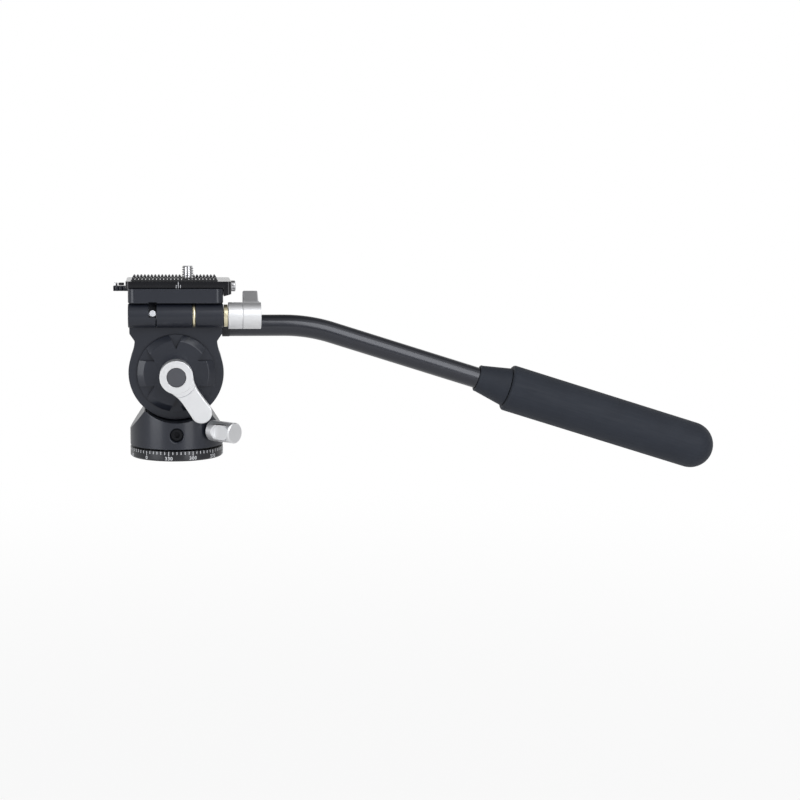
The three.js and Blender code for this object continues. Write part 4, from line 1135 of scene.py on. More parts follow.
@dataclass
class TiltHead:
    """The yoke that tilts: housing with two round cheeks, their covers, and the hinge's pieces."""

    axis: float = 46.5
    cheek: float = 25.3
    outer: float = 14.5
    inner: float = 7.0
    slot_top: float = 14.6
    neck: Point = (21.9, 14.8)
    neck_angle: float = 22.0
    flare: float = 17.0
    block: Point = (24.6, 21.0)
    hinge: Point = (-19.0, 31.0)
    knuckle: float = 6.4
    pocket: float = 7.0
    middle: Point = (-10.1, 8.6)
    bush: float = 5.5
    handle_bore: float = 4.3
    handle_bore_end: float = 13.3
    handle_height: float = 24.1
    dial: Point = (20.7, 17.35)
    dial_back: float = 14.8
    dial_rim: float = 16.15
    dial_face: float = 18.3
    dial_bore: float = 3.3
    notch_count: int = 6
    notch_start: float = 30.0
    notch_tip: float = 13.1
    notch_half_width: float = 3.95
    recess: Point = (7.2, 17.2)
    pin: float = 2.6
    pin_head: Place = (4.2, -24.7, -22.9)
    pin_end: float = 40.2
    pin_socket: Point = (2.1, -23.6)
    washer: Point = (8.9, 10.1)
    washer_radius: float = 6.25
    collar: Point = (25.3, 27.3)
    collar_radius: float = 5.9
    stop_radius: float = 1.75
    stop_start: float = 2.9
    stop_flats: Point = (1.55, 1.75)
    stop_gap: float = 2.05
    stop_angle: float = 165.0

    def build(self) -> None:
        """Builds the housing, both covers and the pieces of the hinge."""
        self._housing()
        self._cover(-1, "dial_cover")
        self._cover(1, "far_cover")
        self._hinge()

    def _outline(self) -> list[Point]:
        """The housing from the front: round cheeks, a waisted neck and the block.

        Returns:
            The outline's points.
        """
        half, foot = self.block
        top = self.hinge[1] + self.knuckle
        waist, waist_height = self.neck
        turn = math.radians(self.neck_angle)
        meet = (self.cheek * math.cos(turn), self.cheek * math.sin(turn))
        right = bend(meet, (waist, waist_height), (waist, self.flare), 10)
        round_part = arc((0, 0), self.cheek, 180 - self.neck_angle, 360 + self.neck_angle, 96)
        left = [(-x, z) for x, z in reversed(right)]
        block = [(half, foot), (half, top), (-half, top), (-half, foot)]
        return [*left[:-1], *round_part, *right[1:], *block]

    def _housing(self) -> None:
        """The housing: cheeks, slot, knuckle pockets, middle knuckle and bores."""
        far_out = self.block[0] + OVERRUN
        deep = self.outer + OVERRUN
        left, right = self.middle
        y, z = self.hinge
        hinge = (0, y, z)
        slot = Solid.block(
            (-far_out, far_out), (-self.inner, self.inner), (-self.cheek - OVERRUN, self.slot_top))
        wall = Solid.prism(self._outline(), (-self.outer, self.outer), View.FRONT).cut(
            slot,
            Solid.rod(self.bush, (-deep, deep), Axis.Y, steps=64),
            Solid.rod(self.pocket, (-far_out, left), Axis.X, hinge),
            Solid.rod(self.pocket, (right, far_out), Axis.X, hinge),
            Solid.rod(self.handle_bore, (self.handle_bore_end, far_out), Axis.X,
                      (0, 0, self.handle_height), 64),
        )
        web = Solid.block(
            self.middle, (y, OVERRUN - self.outer), (z - self.knuckle, z + self.knuckle))
        knuckle = Solid.rod(self.knuckle, self.middle, Axis.X, hinge).joined(web)
        pin_bore = Solid.rod(self.pin + SEAT, (-far_out, far_out), Axis.X, hinge, 64)
        wall.joined(knuckle).cut(pin_bore).rounded(0.3).placed(self._lift()).piece(
            "tilt_yoke", "tilt", BLACK_ANODISED, "black_anodised", ["tilt_housing"])

    def _lift(self) -> Matrix:
        """The move from the tilt axis to its height."""
        return Matrix.Translation((0, 0, self.axis))

    def _cover(self, side: int, node: str) -> None:
        """A round cover with a bevelled rim and six notches.

        Args:
            side: -1 for the near cheek, 1 for the far one.
            node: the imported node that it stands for.
        """
        radius, face = self.dial
        rim, top = self.dial_rim, self.dial_face
        reach = radius + OVERRUN
        cover = Solid.lathe([
            (0, self.dial_back), (radius, self.dial_back),
            *bend((radius, rim - 0.2), (radius, rim), (radius - 0.2, rim + 0.16), 4),
            *bend((face + 0.3, top - 0.24), (face, top), (face - 0.35, top), 4),
            (0, top),
        ], Axis.Y, steps=144)
        half = self.notch_half_width / (radius - self.notch_tip) * (reach - self.notch_tip)
        corner = [(self.notch_tip, 0), (reach, -half), (reach, half)]
        notch = Solid.prism(corner, (rim - 0.05, top + OVERRUN), View.FRONT)
        turns = [
            math.radians(self.notch_start + 360 * i / self.notch_count)
            for i in range(self.notch_count)
        ]
        notches = [notch.placed(Matrix.Rotation(turn, 4, "Y")) for turn in turns]
        bore, depth = self.recess if side > 0 else (self.dial_bore, top + OVERRUN)
        made = cover.cut(*notches, Solid.rod(bore, (0, depth), Axis.Y, steps=64))
        flip = Matrix.Identity(4) if side > 0 else Matrix.Rotation(math.pi, 4, "Z")
        made.placed(self._lift() @ flip).piece(
            f"{node}_notched", "tilt", BLACK_ANODISED, "black_anodised", [node])

    def _hinge(self) -> None:
        """The hinge's pin, its two brass rings and the stop pin."""
        place = self._lift() @ Matrix.Translation((0, *self.hinge))
        head, start, shoulder = self.pin_head
        socket, floor = self.pin_socket
        pin = Solid.lathe([
            (0, start), (head, start), (head, shoulder), (self.pin, shoulder),
            (self.pin, self.pin_end), (0, self.pin_end),
        ], Axis.X, steps=64)
        pin = pin.cut(Solid.rod(socket, (start - OVERRUN, floor), Axis.X, steps=6)).rounded(0.2)
        pin.placed(place).piece("hinge_pin_socketed", "tilt", ZINC_STEEL, "steel", ["hinge_pin"])
        for name, span, radius in (
            ("brass_washer", self.washer, self.washer_radius),
            ("brass_collar", self.collar, self.collar_radius),
        ):
            turned = Solid.ring(self.pin + SEAT, radius, span, Axis.X).rounded(0.16)
            turned.placed(place).piece(f"{name}_turned", "tilt", TURNED_BRASS, "brass", [name])
        self._stop_pin(place)

    def _stop_pin(self, place: Matrix) -> None:
        """The stop pin, with two small flats.

        Args:
            place: the move that stands it on the hinge's axis.
        """
        wide, high = self.stop_flats
        bounds = Solid.block(
            (-wide, wide), (self.stop_start, self.knuckle + OVERRUN), (-high, high))
        pin = Solid.rod(self.stop_radius, (0, self.knuckle), Axis.Y, steps=48).within(bounds)
        turn = Matrix.Rotation(math.radians(self.stop_angle), 4, "X")
        aside = Matrix.Translation((self.middle[0] - self.stop_gap, 0, 0))
        pin.rounded(0.25).placed(place @ aside @ turn).piece(
            "stop_pin_ground", "tilt", GROUND_STEEL, "chrome", ["stop_pin"])


@dataclass
class Handle:
    """The bent tube with its collar, and the grip with its cone."""

    height: float = 70.6
    root: float = 28.95
    collar: Point = (24.9, 28.9)
    collar_radius: float = 6.0
    stud_bore: float = 4.3
    radius: float = 5.85
    bend_radius: float = 87.0
    bend_steps: int = 24
    slope: float = 17.5
    vertex: float = 71.75
    grip_start: float = 98.6
    tube_in_grip: float = 70.0
    cone: tuple[float, float, float, float] = (7.45, 10.8, 1.2, 17.5)
    cone_gap: float = 0.12
    grip_radius: float = 12.98
    grip_length: float = 111.92
    grip_hollow: float = 78.3
    grip_rings: int = 40
    shoulder: float = 1.6
    dome_steps: int = 24

    def build(self) -> None:
        """Builds the collar, the tube, the cone and the grip."""
        at = (0, 0, self.height)
        collar = Solid.ring(self.stud_bore, self.collar_radius, self.collar, Axis.X, at)
        collar.rounded(0.3).piece(
            "handle_collar_moulded", "tilt", BLACK_NYLON, "black_plastic", ["handle_collar"])
        swept(self._line(), self.radius, TUBE_BLACK).piece(
            "handle_tube_bent", "tilt", TUBE_BLACK, "black_anodised", ["handle_tube"])
        self._cone()
        self._grip()

    def _along(self, distance: float) -> Place:
        """A place on the sloping part.

        Args:
            distance: how far past the corner of the bend it lies.

        Returns:
            The place.
        """
        slope = math.radians(self.slope)
        along, down = distance * math.cos(slope), distance * math.sin(slope)
        return (self.vertex + along, 0.0, self.height - down)

    def _line(self) -> list[Place]:
        """The middle line of the tube: straight, then one bend, then straight into the grip.

        Returns:
            The line's points.
        """
        slope = math.radians(self.slope)
        radius = self.bend_radius
        start = self.vertex - radius * math.tan(slope / 2)
        turns = [slope * i / self.bend_steps for i in range(self.bend_steps + 1)]
        bent = [
            (start + radius * math.sin(a), 0.0, self.height - radius * (1 - math.cos(a)))
            for a in turns
        ]
        end = self._along(self.grip_start + self.tube_in_grip)
        return [(self.root, 0.0, self.height), *bent, end]

    def _place(self) -> Matrix:
        """The move that stands a piece of the grip on the sloping line."""
        turn = Matrix.Rotation(math.radians(90 + self.slope), 4, "Y")
        return Matrix.Translation(self._along(self.grip_start)) @ turn

    def _cone(self) -> None:
        """The cone in front of the grip."""
        front, rear, lip, length = self.cone
        bore = self.radius + self.cone_gap
        cone = Solid.lathe([(bore, 0), (front, 0), (front, lip), (rear, length), (bore, length)])
        cone.rounded(0.5, 3, 20).placed(self._place()).piece(
            "grip_cone", "tilt", CONE_RUBBER, "black_plastic", ["grip_collar"])

    def _grip(self) -> None:
        """The grip, with a rounded front edge and a domed end, and hollow for the tube."""
        radius, bore = self.grip_radius, self.radius + SEAT
        start = self.cone[3] + SEAT
        edge = start + self.shoulder
        end = self.cone[3] + self.grip_length
        corner = arc((edge, radius - self.shoulder), self.shoulder, 180, 90, 8)
        rings = [edge + (end - edge) * i / self.grip_rings for i in range(1, self.grip_rings)]
        turns = [math.pi / 2 * i / self.dome_steps for i in range(self.dome_steps)]
        grip = Solid.lathe([
            (0, self.grip_hollow), (bore, self.grip_hollow), (bore, start),
            *[(r, z) for z, r in corner], *[(radius, z) for z in rings],
            *[(radius * math.cos(a), end + radius * math.sin(a)) for a in turns],
            (0, end + radius),
        ])
        grip.placed(self._place()).piece(
            "grip_foam", "tilt", FOAM_GRIP, "rubber", ["grip_sleeve"], crease=50)


@dataclass
class LockLever:
    """A lock lever: threaded collar, lever with a raised hub and a waisted arm, and its cap."""

    name: str
    place: Matrix
    bore: float
    collar_radius: float
    collar: Point
    hub: float
    tip: float
    reach: float
    waist: float
    step: float
    thickness: float
    arm: float
    cap: float
    spigot: float = 4.8
    spigot_length: float = 5.0
    front: float = 0.5
    arm_step: float = 0.5
    cap_depth: float = 3.4
    cap_proud: float = 0.2
    cap_gap: float = 0.12
    joint: float = 0.1
    groove: Point = (0.28, 0.9)
    waist_share: float = 0.61

    def build(self) -> None:
        """Builds the collar, the lever and the cap."""
        low, high = self.collar
        start = high + self.joint
        shoulder = start + self.spigot_length
        end = high + SEAT + self.thickness
        collar = Solid.lathe([
            (self.bore, low), (self.collar_radius, low), (self.collar_radius, high),
            (self.spigot, high), (self.spigot, shoulder), (self.bore, shoulder),
        ])
        collar.rounded(0.3).placed(self.place).piece(
            f"{self.name}_collar_turned", self.name, SATIN_SILVER, "satin_silver",
            [f"{self.name}_collar"])
        self._lever(start, end)
        cap = Solid.rod(self.cap, (end - self.cap_depth, end + self.cap_proud), steps=72)
        cap.rounded(0.35).placed(self.place).piece(
            f"{self.name}_cap_moulded", self.name, GREY_ABS, "grey_plastic", [f"{self.name}_cap"])

    def _outline(self) -> list[Point]:
        """The lever in its own plane, its arm along the first axis.

        Returns:
            The outline's points.
        """
        x, y = self.hub * math.cos(math.pi / 3), self.hub * math.sin(math.pi / 3)
        control = x + (y - self.waist) * math.tan(math.pi / 3)
        narrow = self.reach * self.waist_share
        middle = (narrow + self.reach) / 2
        upper = [
            *bend((x, y), (control, self.waist), (narrow, self.waist), 12),
            *bend((narrow, self.waist), (middle, self.waist), (self.reach, self.tip), 10)[1:],
        ]
        lower = [(u, -v) for u, v in upper]
        tip = arc((self.reach, 0), self.tip, -90, 90, 32)
        hub = arc((0, 0), self.hub, 60, 300, 56)
        return [*lower[:-1], *tip, *list(reversed(upper))[1:-1], *hub[:-1]]

    def _lever(self, start: float, end: float) -> None:
        """The lever: arm, raised hub with its arc-shaped step, and the bore for spigot and cap.

        Args:
            start: where the hub starts along the lever's axis.
            end: where it ends.
        """
        face = end - self.front
        width, depth = self.groove
        outline = self._outline()
        arm = Solid.prism(outline, (face - self.arm, face - self.arm_step), View.PLAN)
        raised = Solid.prism(outline, (face - self.arm / 2, face), View.PLAN).rounded(0.5, 2)
        raised = raised.within(Solid.rod(self.step, (start, end)))
        hub = Solid.rod(self.hub, (start, end))
        lever = arm.rounded(0.7, 3).joined(raised, hub).cut(
            Solid.ring(self.step, self.step + width, (face - depth, face + OVERRUN)),
            Solid.rod(self.spigot + SEAT, (start - OVERRUN, end + OVERRUN), steps=72),
            Solid.rod(self.cap + self.cap_gap, (end - self.cap_depth - SEAT, end + OVERRUN),
                      steps=72),
        )
        lever.rounded(0.22, 2, 40).placed(self.place).piece(
            f"{self.name}_cast", self.name, SATIN_SILVER, "satin_silver", [self.name], crease=38)


@dataclass
class Clamp:
    """The quick release clamp: base with near jaw and outer knuckles, far jaw, and its lever."""

    half_length: float = 25.0
    near: float = 23.0
    bottom: float = 84.2
    top: float = 91.9
    corner: float = 4.0
    channel: float = 87.6
    tail: Point = (18.92, 15.62)
    tail_edge: float = 88.7
    tail_neck: float = 92.0
    jaw: Point = (14.3, 22.6)
    hinge: Point = (-19.0, 77.5)
    knuckle: float = 6.4
    spans: tuple[Point, Point] = ((-25.0, -10.4), (10.4, 25.0))
    web: Point = (-19.6, -14.8)
    web_inset: Point = (0.5, 0.4)
    web_sunk: float = 0.6
    pin_bore: float = 2.9
    head_bore: Point = (4.5, -22.6)
    stop_slot: Point = (-14.2, -10.0)
    stop_half_width: float = 2.05
    stop_turns: Point = (75.0, 165.0)
    guide: float = 18.0
    guide_height: float = 85.9
    guide_radius: float = 1.8
    guide_reach: Point = (6.0, 20.2)
    rod_at: float = 8.0
    rod_radius: float = 1.5
    rod_start: float = 2.3
    rod_bore_start: float = 2.0
    eye: Point = (3.2, 3.3)
    pivot_y: float = 29.2
    pivot_bore: float = 1.4
    pivot: Point = (1.1, 2.4)
    pivot_head: float = 0.8
    cam_reach: float = 6.3
    cam_ease: float = 1.25
    cam_travel: float = 125.0
    cam_end: float = 268.0
    cam_steps: int = 48
    lever: Point = (87.7, 90.5)
    lever_side: float = 3.2
    arm_width: float = 3.8
    tab: Point = (27.4, 34.08)
    tab_width: float = 5.6
    tab_corner: float = 0.8
    rib_count: int = 3
    rib_radius: float = 0.55
    button_at: float = 32.7
    button_hole: Point = (1.05, 2.0)
    button: Place = (0.95, 0.7, 1.9)
    latch_at: float = 29.7
    latch: Place = (0.45, 1.1, 1.4)

    def build(self) -> None:
        """Builds the base, the jaw, the draw rod, the lever and its small pieces."""
        self._base()
        self._jaw()
        self._rod()
        self._lever()
        self._fittings()

    def _channel(self) -> Solid:
        """The dovetail channel that the plate's tail slides in.

        Returns:
            The body that cuts it.
        """
        wide, neck = self.tail
        right = [
            (wide, self.channel), (wide, self.tail_edge), (neck, self.tail_neck),
            (neck, self.top + OVERRUN),
        ]
        left = [(-y, z) for y, z in reversed(right)]
        length = self.half_length + OVERRUN
        return Solid.prism([*right, *left], (-length, length), View.SIDE)

    def _bore(self, x: float, radius: float, span: Point) -> Solid:
        """A bore across the clamp at the guide pins' height."""
        return Solid.rod(radius, span, Axis.Y, (x, 0, self.guide_height), 48)

    def _bores(self, guide: Point, rod: Point) -> list[Solid]:
        """The bores of the two guide pins and of the draw rod.

        Args:
            guide: where the guide pins' bores start and end.
            rod: where the draw rod's bore starts and ends.

        Returns:
            The bodies that cut them.
        """
        return [
            self._bore(-self.guide, self.guide_radius, guide),
            self._bore(self.guide, self.guide_radius, guide),
            self._bore(self.rod_at, self.rod_radius + SEAT, rod),
        ]

    def _base(self) -> None:
        """The base, with the near jaw above and two knuckles below."""
        far_out = self.half_length + OVERRUN
        hinge = (0, *self.hinge)
        jaw = self.jaw[0]
        plan = rounded_rectangle(
            (-self.half_length, self.half_length), (-self.near, self.near), self.corner)
        far_side = Solid.block(
            (-far_out, far_out), (jaw - SEAT, self.near + OVERRUN),
            (self.bottom - OVERRUN, self.top + OVERRUN))
        blank = Solid.prism(plan, (self.bottom, self.top), View.PLAN)
        blank = blank.cut(self._channel(), far_side).rounded(0.5, 2)
        knuckles = [
            Solid.rod(self.knuckle, span, Axis.X, hinge).rounded(0.5, 3) for span in self.spans
        ]
        left, right = self.web_inset
        webs = [
            Solid.block((low + left, high - right), self.web,
                        (self.hinge[1], self.bottom + self.web_sunk))
            for low, high in self.spans
        ]
        head, floor = self.head_bore
        body = blank.joined(*webs, *knuckles).cut(
            *self._stop_slot(),
            Solid.rod(self.pin_bore, (-far_out, far_out), Axis.X, hinge, 64),
            Solid.rod(head, (-far_out, floor), Axis.X, hinge, 64),
            *self._bores((self.guide_reach[0], jaw), (self.rod_bore_start, jaw)),
        )
        body.piece("clamp_block", "clamp", BLACK_ANODISED, "black_anodised", ["clamp_base"])

    def _stop_slot(self) -> list[Solid]:
        """The quarter-turn slot that the stop pin stands in.

        Returns:
            The bodies that cut it: a sector, and a bar at each of its ends.
        """
        y, z = self.hinge
        reach = self.knuckle + OVERRUN
        half = self.stop_half_width
        fan = [(y, z), *arc((y, z), reach, *self.stop_turns, 24)]
        bar = Solid.prism(
            [(0, -half), (reach, -half), (reach, half), (0, half)], self.stop_slot, View.SIDE)
        middle = Matrix.Translation((0, y, z))
        return [
            Solid.prism(fan, self.stop_slot, View.SIDE),
            *[bar.placed(middle @ Matrix.Rotation(math.radians(turn), 4, "X"))
              for turn in self.stop_turns],
        ]

    def _jaw(self) -> None:
        """The sliding jaw."""
        near, far = self.jaw
        far_out = self.half_length + OVERRUN
        plan = rounded_rectangle(
            (-self.half_length, self.half_length), (-OVERRUN, far), self.corner)
        near_side = Solid.block(
            (-far_out, far_out), (-2 * OVERRUN, near),
            (self.bottom - OVERRUN, self.top + OVERRUN))
        jaw = Solid.prism(plan, (self.bottom, self.top), View.PLAN).cut(
            near_side, self._channel(),
            *self._bores((near - OVERRUN, self.guide_reach[1]), (near - OVERRUN, far + OVERRUN)))
        jaw.rounded(0.28).piece(
            "clamp_far_jaw", "jaw", BLACK_ANODISED, "black_anodised", ["clamp_jaw"])

    def _rod(self) -> None:
        """The draw rod with the eye of the lever's pivot, and the pivot pin."""
        at = (self.rod_at, self.pivot_y, 0)
        low, high = self.bottom, self.lever[1] + SEAT
        radius, height = self.eye
        eye = Solid.rod(radius, (low, low + height), at=at, steps=64).rounded(0.25)
        rod = self._bore(self.rod_at, self.rod_radius, (self.rod_start, self.pivot_y)).joined(eye)
        bore = (low - OVERRUN, low + height + OVERRUN)
        rod.cut(Solid.rod(self.pivot_bore, bore, at=at, steps=48)).piece(
            "draw_rod_eyed", "clamp", ZINC_STEEL, "steel", ["draw_rod"])
        shank, head = self.pivot
        top = high + self.pivot_head
        pin = Solid.lathe(
            [(0, low), (shank, low), (shank, high), (head, high), (head, top), (0, top)],
            at=at, steps=48)
        pin.rounded(0.2).piece(
            "pivot_pin_riveted", "clamp", ZINC_STEEL, "steel", ["lever_pivot_pin"])

    def _lever(self) -> None:
        """The cam lever, with three grooves across its finger tab."""
        low, high = self.lever
        pivot = (self.rod_at, self.pivot_y, 0)
        pitch = (self.tab[1] - self.tab[0]) / self.rib_count
        first = (pitch / 2 - self.tab[1], self.pivot_y - self.cam_reach, 0)
        through = (low - OVERRUN, high + OVERRUN)
        grooves = row_of(Solid.rod(self.rib_radius, through, at=first, steps=24),
                         self.rib_count, pitch, BLACK_ANODISED)
        arm, cam = [
            Solid.prism(outline, self.lever, View.PLAN)
            for outline in (self._arm_outline(), self._cam_outline())
        ]
        lever = arm.joined(cam).placed(Matrix.Translation(pivot))
        lever = lever.cut(grooves, Solid.rod(self.pivot_bore, through, at=pivot, steps=48))
        hole, depth = self.button_hole
        lever = lever.rounded(0.22).cut(Solid.rod(
            hole, (high - depth, high + OVERRUN), at=self._tab_place(self.button_at), steps=36))
        lever.piece("clamp_lever_milled", "clamp_lever", BLACK_ANODISED, "black_anodised",
                    ["clamp_lever"])

    def _arm_outline(self) -> list[Point]:
        """The lever's arm and finger tab from above, with the pivot at the origin.

        Returns:
            The outline's points.
        """
        reach, corner = self.cam_reach, self.tab_corner
        inner = -reach
        outer = inner + self.arm_width
        start, end = -self.tab[0] - self.rod_at, -self.tab[1] - self.rod_at
        edge = inner + self.tab_width
        side = (-self.lever_side, 0)
        return [
            (0, inner), (0, 0), side,
            *bend(side, (-reach, outer), (-2 * reach, outer), 10)[1:],
            *bend((start + reach, outer), (start + self.arm_width, outer), (start, edge), 10),
            *arc((end + corner, edge - corner), corner, 90, 180, 6),
            *arc((end + corner, inner + corner), corner, 180, 270, 6),
        ]

    def _cam_outline(self) -> list[Point]:
        """The lever's cam from above: it comes nearer to the pivot as the lever opens.

        Returns:
            The outline's points.
        """
        cam = []
        for i in range(self.cam_steps + 1):
            turn = math.radians(self.cam_travel * i / self.cam_steps)
            radius = self.cam_reach - self.cam_ease * turn
            angle = turn - math.pi / 2
            cam.append((radius * math.cos(angle), radius * math.sin(angle)))
        small = self.cam_reach - self.cam_ease * math.radians(self.cam_travel)
        for start, end in ((self.cam_travel - 90, 90), (90, 180), (180, self.cam_end)):
            cam += arc((0, 0), small, start, end, 16)[1:]
        return cam

    def _tab_place(self, distance: float) -> Place:
        """The middle of the finger tab at a distance to the left of the head."""
        return (-distance, self.pivot_y - self.cam_reach + self.tab_width / 2, 0)

    def _fittings(self) -> None:
        """The release button and the latch on the tab."""
        high = self.lever[1]
        radius, depth, proud = self.button
        button = Solid.rod(
            radius, (high - depth, high + proud), at=self._tab_place(self.button_at), steps=48)
        button.rounded(0.25).piece(
            "lever_button_turned", "lever_button", CHROME, "chrome", ["lever_button"])
        half, radius, height = self.latch
        pill = slot_outline((-half, half), radius, 16)
        foot = high + SEAT
        latch = Solid.prism(pill, (foot, foot + height), View.PLAN).rounded(0.25)
        latch.placed(Matrix.Translation(self._tab_place(self.latch_at))).piece(
            "lever_latch_moulded", "clamp_lever", BLACK_NYLON, "black_plastic", ["lever_latch"])


@dataclass
class Plate:
    """The camera plate: dovetail tail, hook, toothed rubber strips, camera and stop screws."""

    x: Point = (-26.2, 29.4)
    half_width: float = 19.5
    bottom: float = 87.9
    rim: Point = (92.0, 95.6)
    tail: Point = (18.5, 15.2)
    tail_edge: float = 88.7
    tail_length: float = 25.0
    root: float = 0.5
    corner: float = 2.0
    hook: Point = (4.1, 4.3)
    hook_slant: float = 1.1
    slot: Point = (-13.0, 13.0)
    slot_half_width: float = 3.475
    head_half_width: float = 5.9
    head_ceiling: float = 91.3
    strip: Point = (-23.2, 22.1)
    strip_y: Point = (6.6, 16.6)
    strip_sunk: float = 0.5
    strip_base: float = 1.1
    tooth_count: int = 24
    tooth_height: float = 0.9
    tooth_foot: float = 0.4
    tooth_tip: float = 0.12
    tooth_round: float = 0.1
    screw_x: float = 6.6
    screw_radius: float = 3.175
    screw_pitch: float = 1.27
    screw_thread: float = 0.7
    screw_head: Point = (5.6, 2.0)
    screw_neck: Point = (2.7, 0.8)
    screw_tip: Point = (2.65, 0.5)
    screw_span: Point = (88.2, 103.0)
    coin_slot: Place = (8.0, 0.7, 1.0)
    stop_bore: Point = (1.9, 6.3)
    stop_shank: Point = (1.6, 6.0)
    stop_head: Point = (3.0, 2.5)
    stop_chamfer: float = 0.4
    stop_socket: Point = (1.3, 1.2)
    mark_x: tuple[float, float, float] = (0.35, 1.45, 2.55)
    mark_foot: float = 0.08
    mark_top: Point = (1.8, 3.45)
    mark_width: float = 0.32
    mark_rise: float = 0.02

    def build(self) -> None:
        """Builds the plate, its marks, strips and screws."""
        self._plate()
        self._marks()
        self._strips()
        self._screw()
        self._stop_screw()

    def _plate(self) -> None:
        """The plate, with its screw slot and two pockets for the rubber."""
        right = self.x[1]
        low, high = self.rim
        top = high + OVERRUN
        under = self.bottom - OVERRUN
        plan = rounded_rectangle(self.x, (-self.half_width, self.half_width), self.corner)
        wide, neck = self.tail
        side = [
            (wide, self.bottom), (wide, self.tail_edge), (neck, low), (neck, low + self.root),
        ]
        tail = Solid.prism([*side, *[(-y, z) for y, z in reversed(side)]],
                           (-self.tail_length, self.tail_length), View.SIDE)
        thick, drop = self.hook
        left, foot, head = right - thick, low - drop, low + self.root
        hook = Solid.prism(
            [(left, head), (left, foot), (right, foot + self.hook_slant), (right, head)],
            (-self.half_width, self.half_width), View.FRONT)
        hook = hook.within(Solid.prism(plan, (foot - OVERRUN, high), View.PLAN))
        radius, depth = self.stop_bore
        body = Solid.prism(plan, self.rim, View.PLAN).joined(tail, hook).cut(
            Solid.prism(slot_outline(self.slot, self.slot_half_width), (under, top), View.PLAN),
            Solid.prism(slot_outline(self.slot, self.head_half_width), (under, self.head_ceiling),
                        View.PLAN),
            *[self._pocket(side_sign) for side_sign in (-1, 1)],
            Solid.rod(radius, (right - depth, right + OVERRUN), Axis.X, (0, 0, low), 48),
        )
        body.rounded(0.25).piece(
            "camera_plate_milled", "plate", PLATE_BLACK, "black_anodised", ["camera_plate"])

    def _strip_y(self, side: int, clearance: float) -> Point:
        """A strip's limits across the plate.

        Args:
            side: -1 for the near strip, 1 for the far one.
            clearance: the room round it.

        Returns:
            Both limits.
        """
        near, far = self.strip_y
        low, high = near - clearance, far + clearance
        return (low, high) if side > 0 else (-high, -low)

    def _pocket(self, side: int) -> Solid:
        """The shallow pocket of one strip.

        Args:
            side: -1 for the near strip, 1 for the far one.

        Returns:
            The body that cuts it.
        """
        left, right = self.strip
        top = self.rim[1]
        return Solid.block(
            (left - SEAT, right + SEAT), self._strip_y(side, SEAT),
            (top - self.strip_sunk, top + OVERRUN))

    def _marks(self) -> None:
        """Three printed centre marks on the near edge, the middle one tall."""
        face = (-self.half_width - self.mark_rise, -self.half_width + self.mark_rise)
        low = self.rim[0]
        half = self.mark_width / 2
        short, tall = self.mark_top
        marks = [
            Solid.block((x - half, x + half), face, (low + self.mark_foot, low + top))
            for x, top in zip(self.mark_x, (short, tall, short))
        ]
        merged(marks).piece("plate_centre_marks", "plate", WHITE_INK, "black_anodised")

    def _strips(self) -> None:
        """Two rubber strips, each with a row of ridges across the plate."""
        left, right = self.strip
        low = self.rim[1] - self.strip_sunk + SEAT
        root = low + self.strip_base
        pitch = (right - left) / self.tooth_count
        middle = left + pitch / 2
        foot, tip = self.tooth_foot * pitch, self.tooth_tip * pitch
        top = root + self.tooth_height
        outline = [
            (middle - foot, root - 0.1), (middle + foot, root - 0.1), (middle + foot, root),
            (middle + tip, top - self.tooth_round), (middle, top),
            (middle - tip, top - self.tooth_round), (middle - foot, root),
        ]
        for side, name in ((-1, "near"), (1, "far")):
            across = self._strip_y(side, 0)
            ridge = Solid.prism(outline, across, View.FRONT)
            row_of(ridge, self.tooth_count, pitch, BLACK_RUBBER).piece(
                f"rubber_strip_{name}_ridges", "plate", BLACK_RUBBER, "rubber")
            base = Solid.block((left, right), across, (low, root - 0.1)).rounded(0.08)
            base.piece(f"rubber_strip_{name}_base", "plate", SHINY_RUBBER, "rubber",
                       [f"rubber_strip_{name}"])

    def _screw(self) -> None:
        """The camera screw, with its thread and a coin slot underneath."""
        low, high = self.screw_span
        head, thick = self.screw_head
        neck, gap = self.screw_neck
        tip, end = self.screw_tip
        shoulder = low + thick
        start, stop = shoulder + gap, high - end
        count = int((stop - start) / (self.screw_pitch / 10))
        rings = [start + (stop - start) * i / count for i in range(count + 1)]
        rod = Solid.lathe([
            (0, low), (head, low), (head, shoulder), (neck, shoulder), (neck, start - 0.2),
            *[(self.screw_radius, z) for z in rings], (tip, high), (0, high),
        ], steps=64)
        screw = threaded(rod, self.screw_radius, self.screw_pitch, self.screw_thread,
                         (start - 1, high - 0.4), CHROME)
        length, half, depth = self.coin_slot
        screw = screw.cut(
            Solid.block((-length, length), (-half, half), (low - depth, low + depth)))
        screw.placed(Matrix.Translation((self.screw_x, 0, 0))).piece(
            "camera_screw_threaded", "camera_screw", CHROME, "chrome", ["camera_screw"])

    def _stop_screw(self) -> None:
        """The stop screw in the hook's end face."""
        right, at = self.x[1], (0, 0, self.rim[0])
        face = right + SEAT
        shank, length = self.stop_shank
        head, height = self.stop_head
        socket, floor = self.stop_socket
        start, end = right - length, face + height
        screw = Solid.lathe([
            (0, start), (shank, start), (shank, face), (head, face),
            (head, end - self.stop_chamfer), (head - self.stop_chamfer, end), (0, end),
        ], Axis.X, at, 64)
        screw = screw.cut(Solid.rod(socket, (face + floor, end + OVERRUN), Axis.X, at, 6))
        screw.rounded(0.15).piece(
            "stop_screw_socketed", "plate", CHROME, "chrome", ["stop_screw"])


